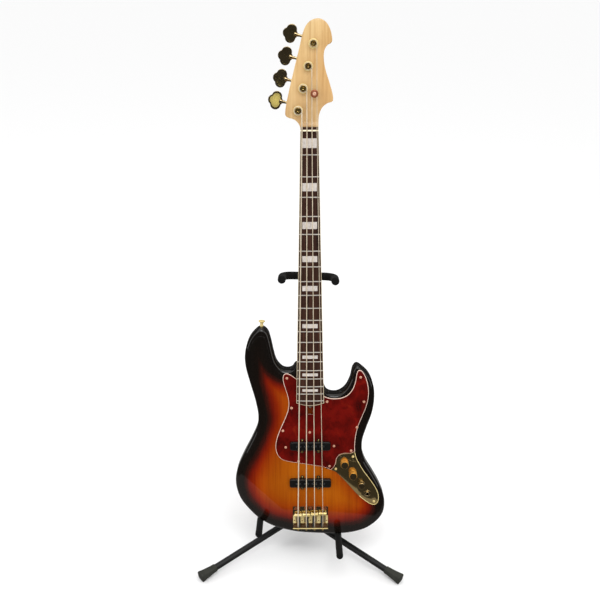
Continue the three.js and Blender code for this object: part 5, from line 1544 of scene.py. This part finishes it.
def world_light():
    """A white studio, which polished pieces see as a dark room with a bright ceiling."""
    world = bpy.data.worlds.new("studio")
    bpy.context.scene.world = world
    world.use_nodes = True
    tree = world.node_tree
    direction = add_node(tree, "ShaderNodeTexCoord").outputs["Generated"]
    height = add_node(tree, "ShaderNodeSeparateXYZ", {0: direction}).outputs["Z"]
    steps = {"Value": height, "From Min": CEILING_START, "From Max": CEILING_FULL}
    steps.update({"To Min": DARK_ROOM, "To Max": BRIGHT_CEILING})
    room = add_node(tree, "ShaderNodeMapRange", steps, interpolation_type="SMOOTHSTEP").outputs["Result"]
    glossy = add_node(tree, "ShaderNodeLightPath").outputs["Is Glossy Ray"]
    choice = add_node(tree, "ShaderNodeMix", {0: glossy, 2: STUDIO, 3: room})
    background = tree.nodes["Background"]
    background.inputs["Color"].default_value = (1, 1, 1, 1)
    tree.links.new(choice.outputs[0], background.inputs["Strength"])


def staged(name, points, faces, material, at):
    """A flat mesh that belongs to the studio."""
    mesh = bpy.data.meshes.new(name)
    mesh.from_pydata(points, [], faces)
    mesh.materials.append(material)
    obj = new_object(name, mesh)
    obj.location = at
    return obj


def reflected_only(obj):
    """The object shows in polished surfaces and nowhere else."""
    for ray in ("camera", "diffuse", "shadow", "transmission", "volume_scatter"):
        setattr(obj, f"visible_{ray}", False)


def reflected_ring(name, inner, outer, strength, count=96):
    """A flat ring just over the floor that only polished surfaces see."""
    turns = [2 * math.pi * k / count for k in range(count)]
    points = [(r * math.cos(a), r * math.sin(a), 0) for r in (inner, outer) for a in turns]
    faces = [[k, (k + 1) % count, count + (k + 1) % count, count + k] for k in range(count)]
    glow = emission(f"{name}_glow", (1, 0.98, 0.95), strength)
    reflected_only(staged(name, points, faces, glow, (0, 0, 0.0002)))


def key_card():
    """A small bright card out in the room that the lowest tuner key's face reflects."""
    eye = bpy.context.scene.camera.matrix_world.translation
    leaf = GUITAR @ (Vector((*tuner_point(0, KEY_CENTRE), KEY_N + 2.48)) * MM)
    normal = (GUITAR.to_3x3() @ Vector((0, 0, 1))).normalized()
    ray = (leaf - eye).normalized()
    out = ray - 2 * ray.dot(normal) * normal
    side = out.cross(Vector((0, 0, 1))).normalized()
    up = side.cross(out)
    wide, tall, away = 0.036, 0.044, 3
    corners = [tuple(side * x * wide + up * z * tall) for x, z in arc(0, 0, 1, 0, 2 * math.pi, 32)[:-1]]
    glow = emission("key_card_glow", (0.95, 1.0, 0.55), 2.0)
    reflected_only(staged("key_card", corners, [list(range(32))], glow, leaf + away * out))


def area_light(name, at, target, size, power):
    data = bpy.data.lights.new(name, "AREA")
    data.shape = "RECTANGLE"
    data.size, data.size_y = size
    data.energy = power
    obj = new_object(name, data)
    obj.location = at
    obj.rotation_mode = "QUATERNION"
    obj.rotation_quaternion = (Vector(target) - Vector(at)).to_track_quat("-Z", "Y")


def floor(reach=40):
    look = Look("floor_paper", (0.9, 0.9, 0.9), 0.9, Specular_IOR_Level=0.0)
    paper = look.finish(look.ramp(look.noise(500, 2), (0.3, 0.885, 0.885, 0.885), (0.7, 0.9, 0.9, 0.9)))
    corners = [(-reach, -reach, 0), (reach, -reach, 0), (reach, reach, 0), (-reach, reach, 0)]
    staged("floor", corners, [[0, 1, 2, 3]], paper, (0, 0, -0.0005))


world_light()
floor()
reflected_ring("paper_reflection", 0.0, PAPER_RADIUS, PAPER_GLOW)
reflected_ring("room_reflection", PAPER_RADIUS, 30, DARK_ROOM)
key_card()
area_light("key_overhead", (0.3, -1.6, 3.4), (0, 0, 0.5), (2.2, 1.4), 34)
area_light("fill_left", (-2.6, -1.2, 1.6), (0, 0, 0.6), (0.8, 2.4), 12)
area_light("fill_right", (2.6, -1.0, 1.6), (0, 0, 0.6), (0.8, 2.4), 12)

scene = bpy.context.scene
scene.view_settings.view_transform = "Standard"
scene.view_settings.look = "None"

bpy.context.view_layer.update()
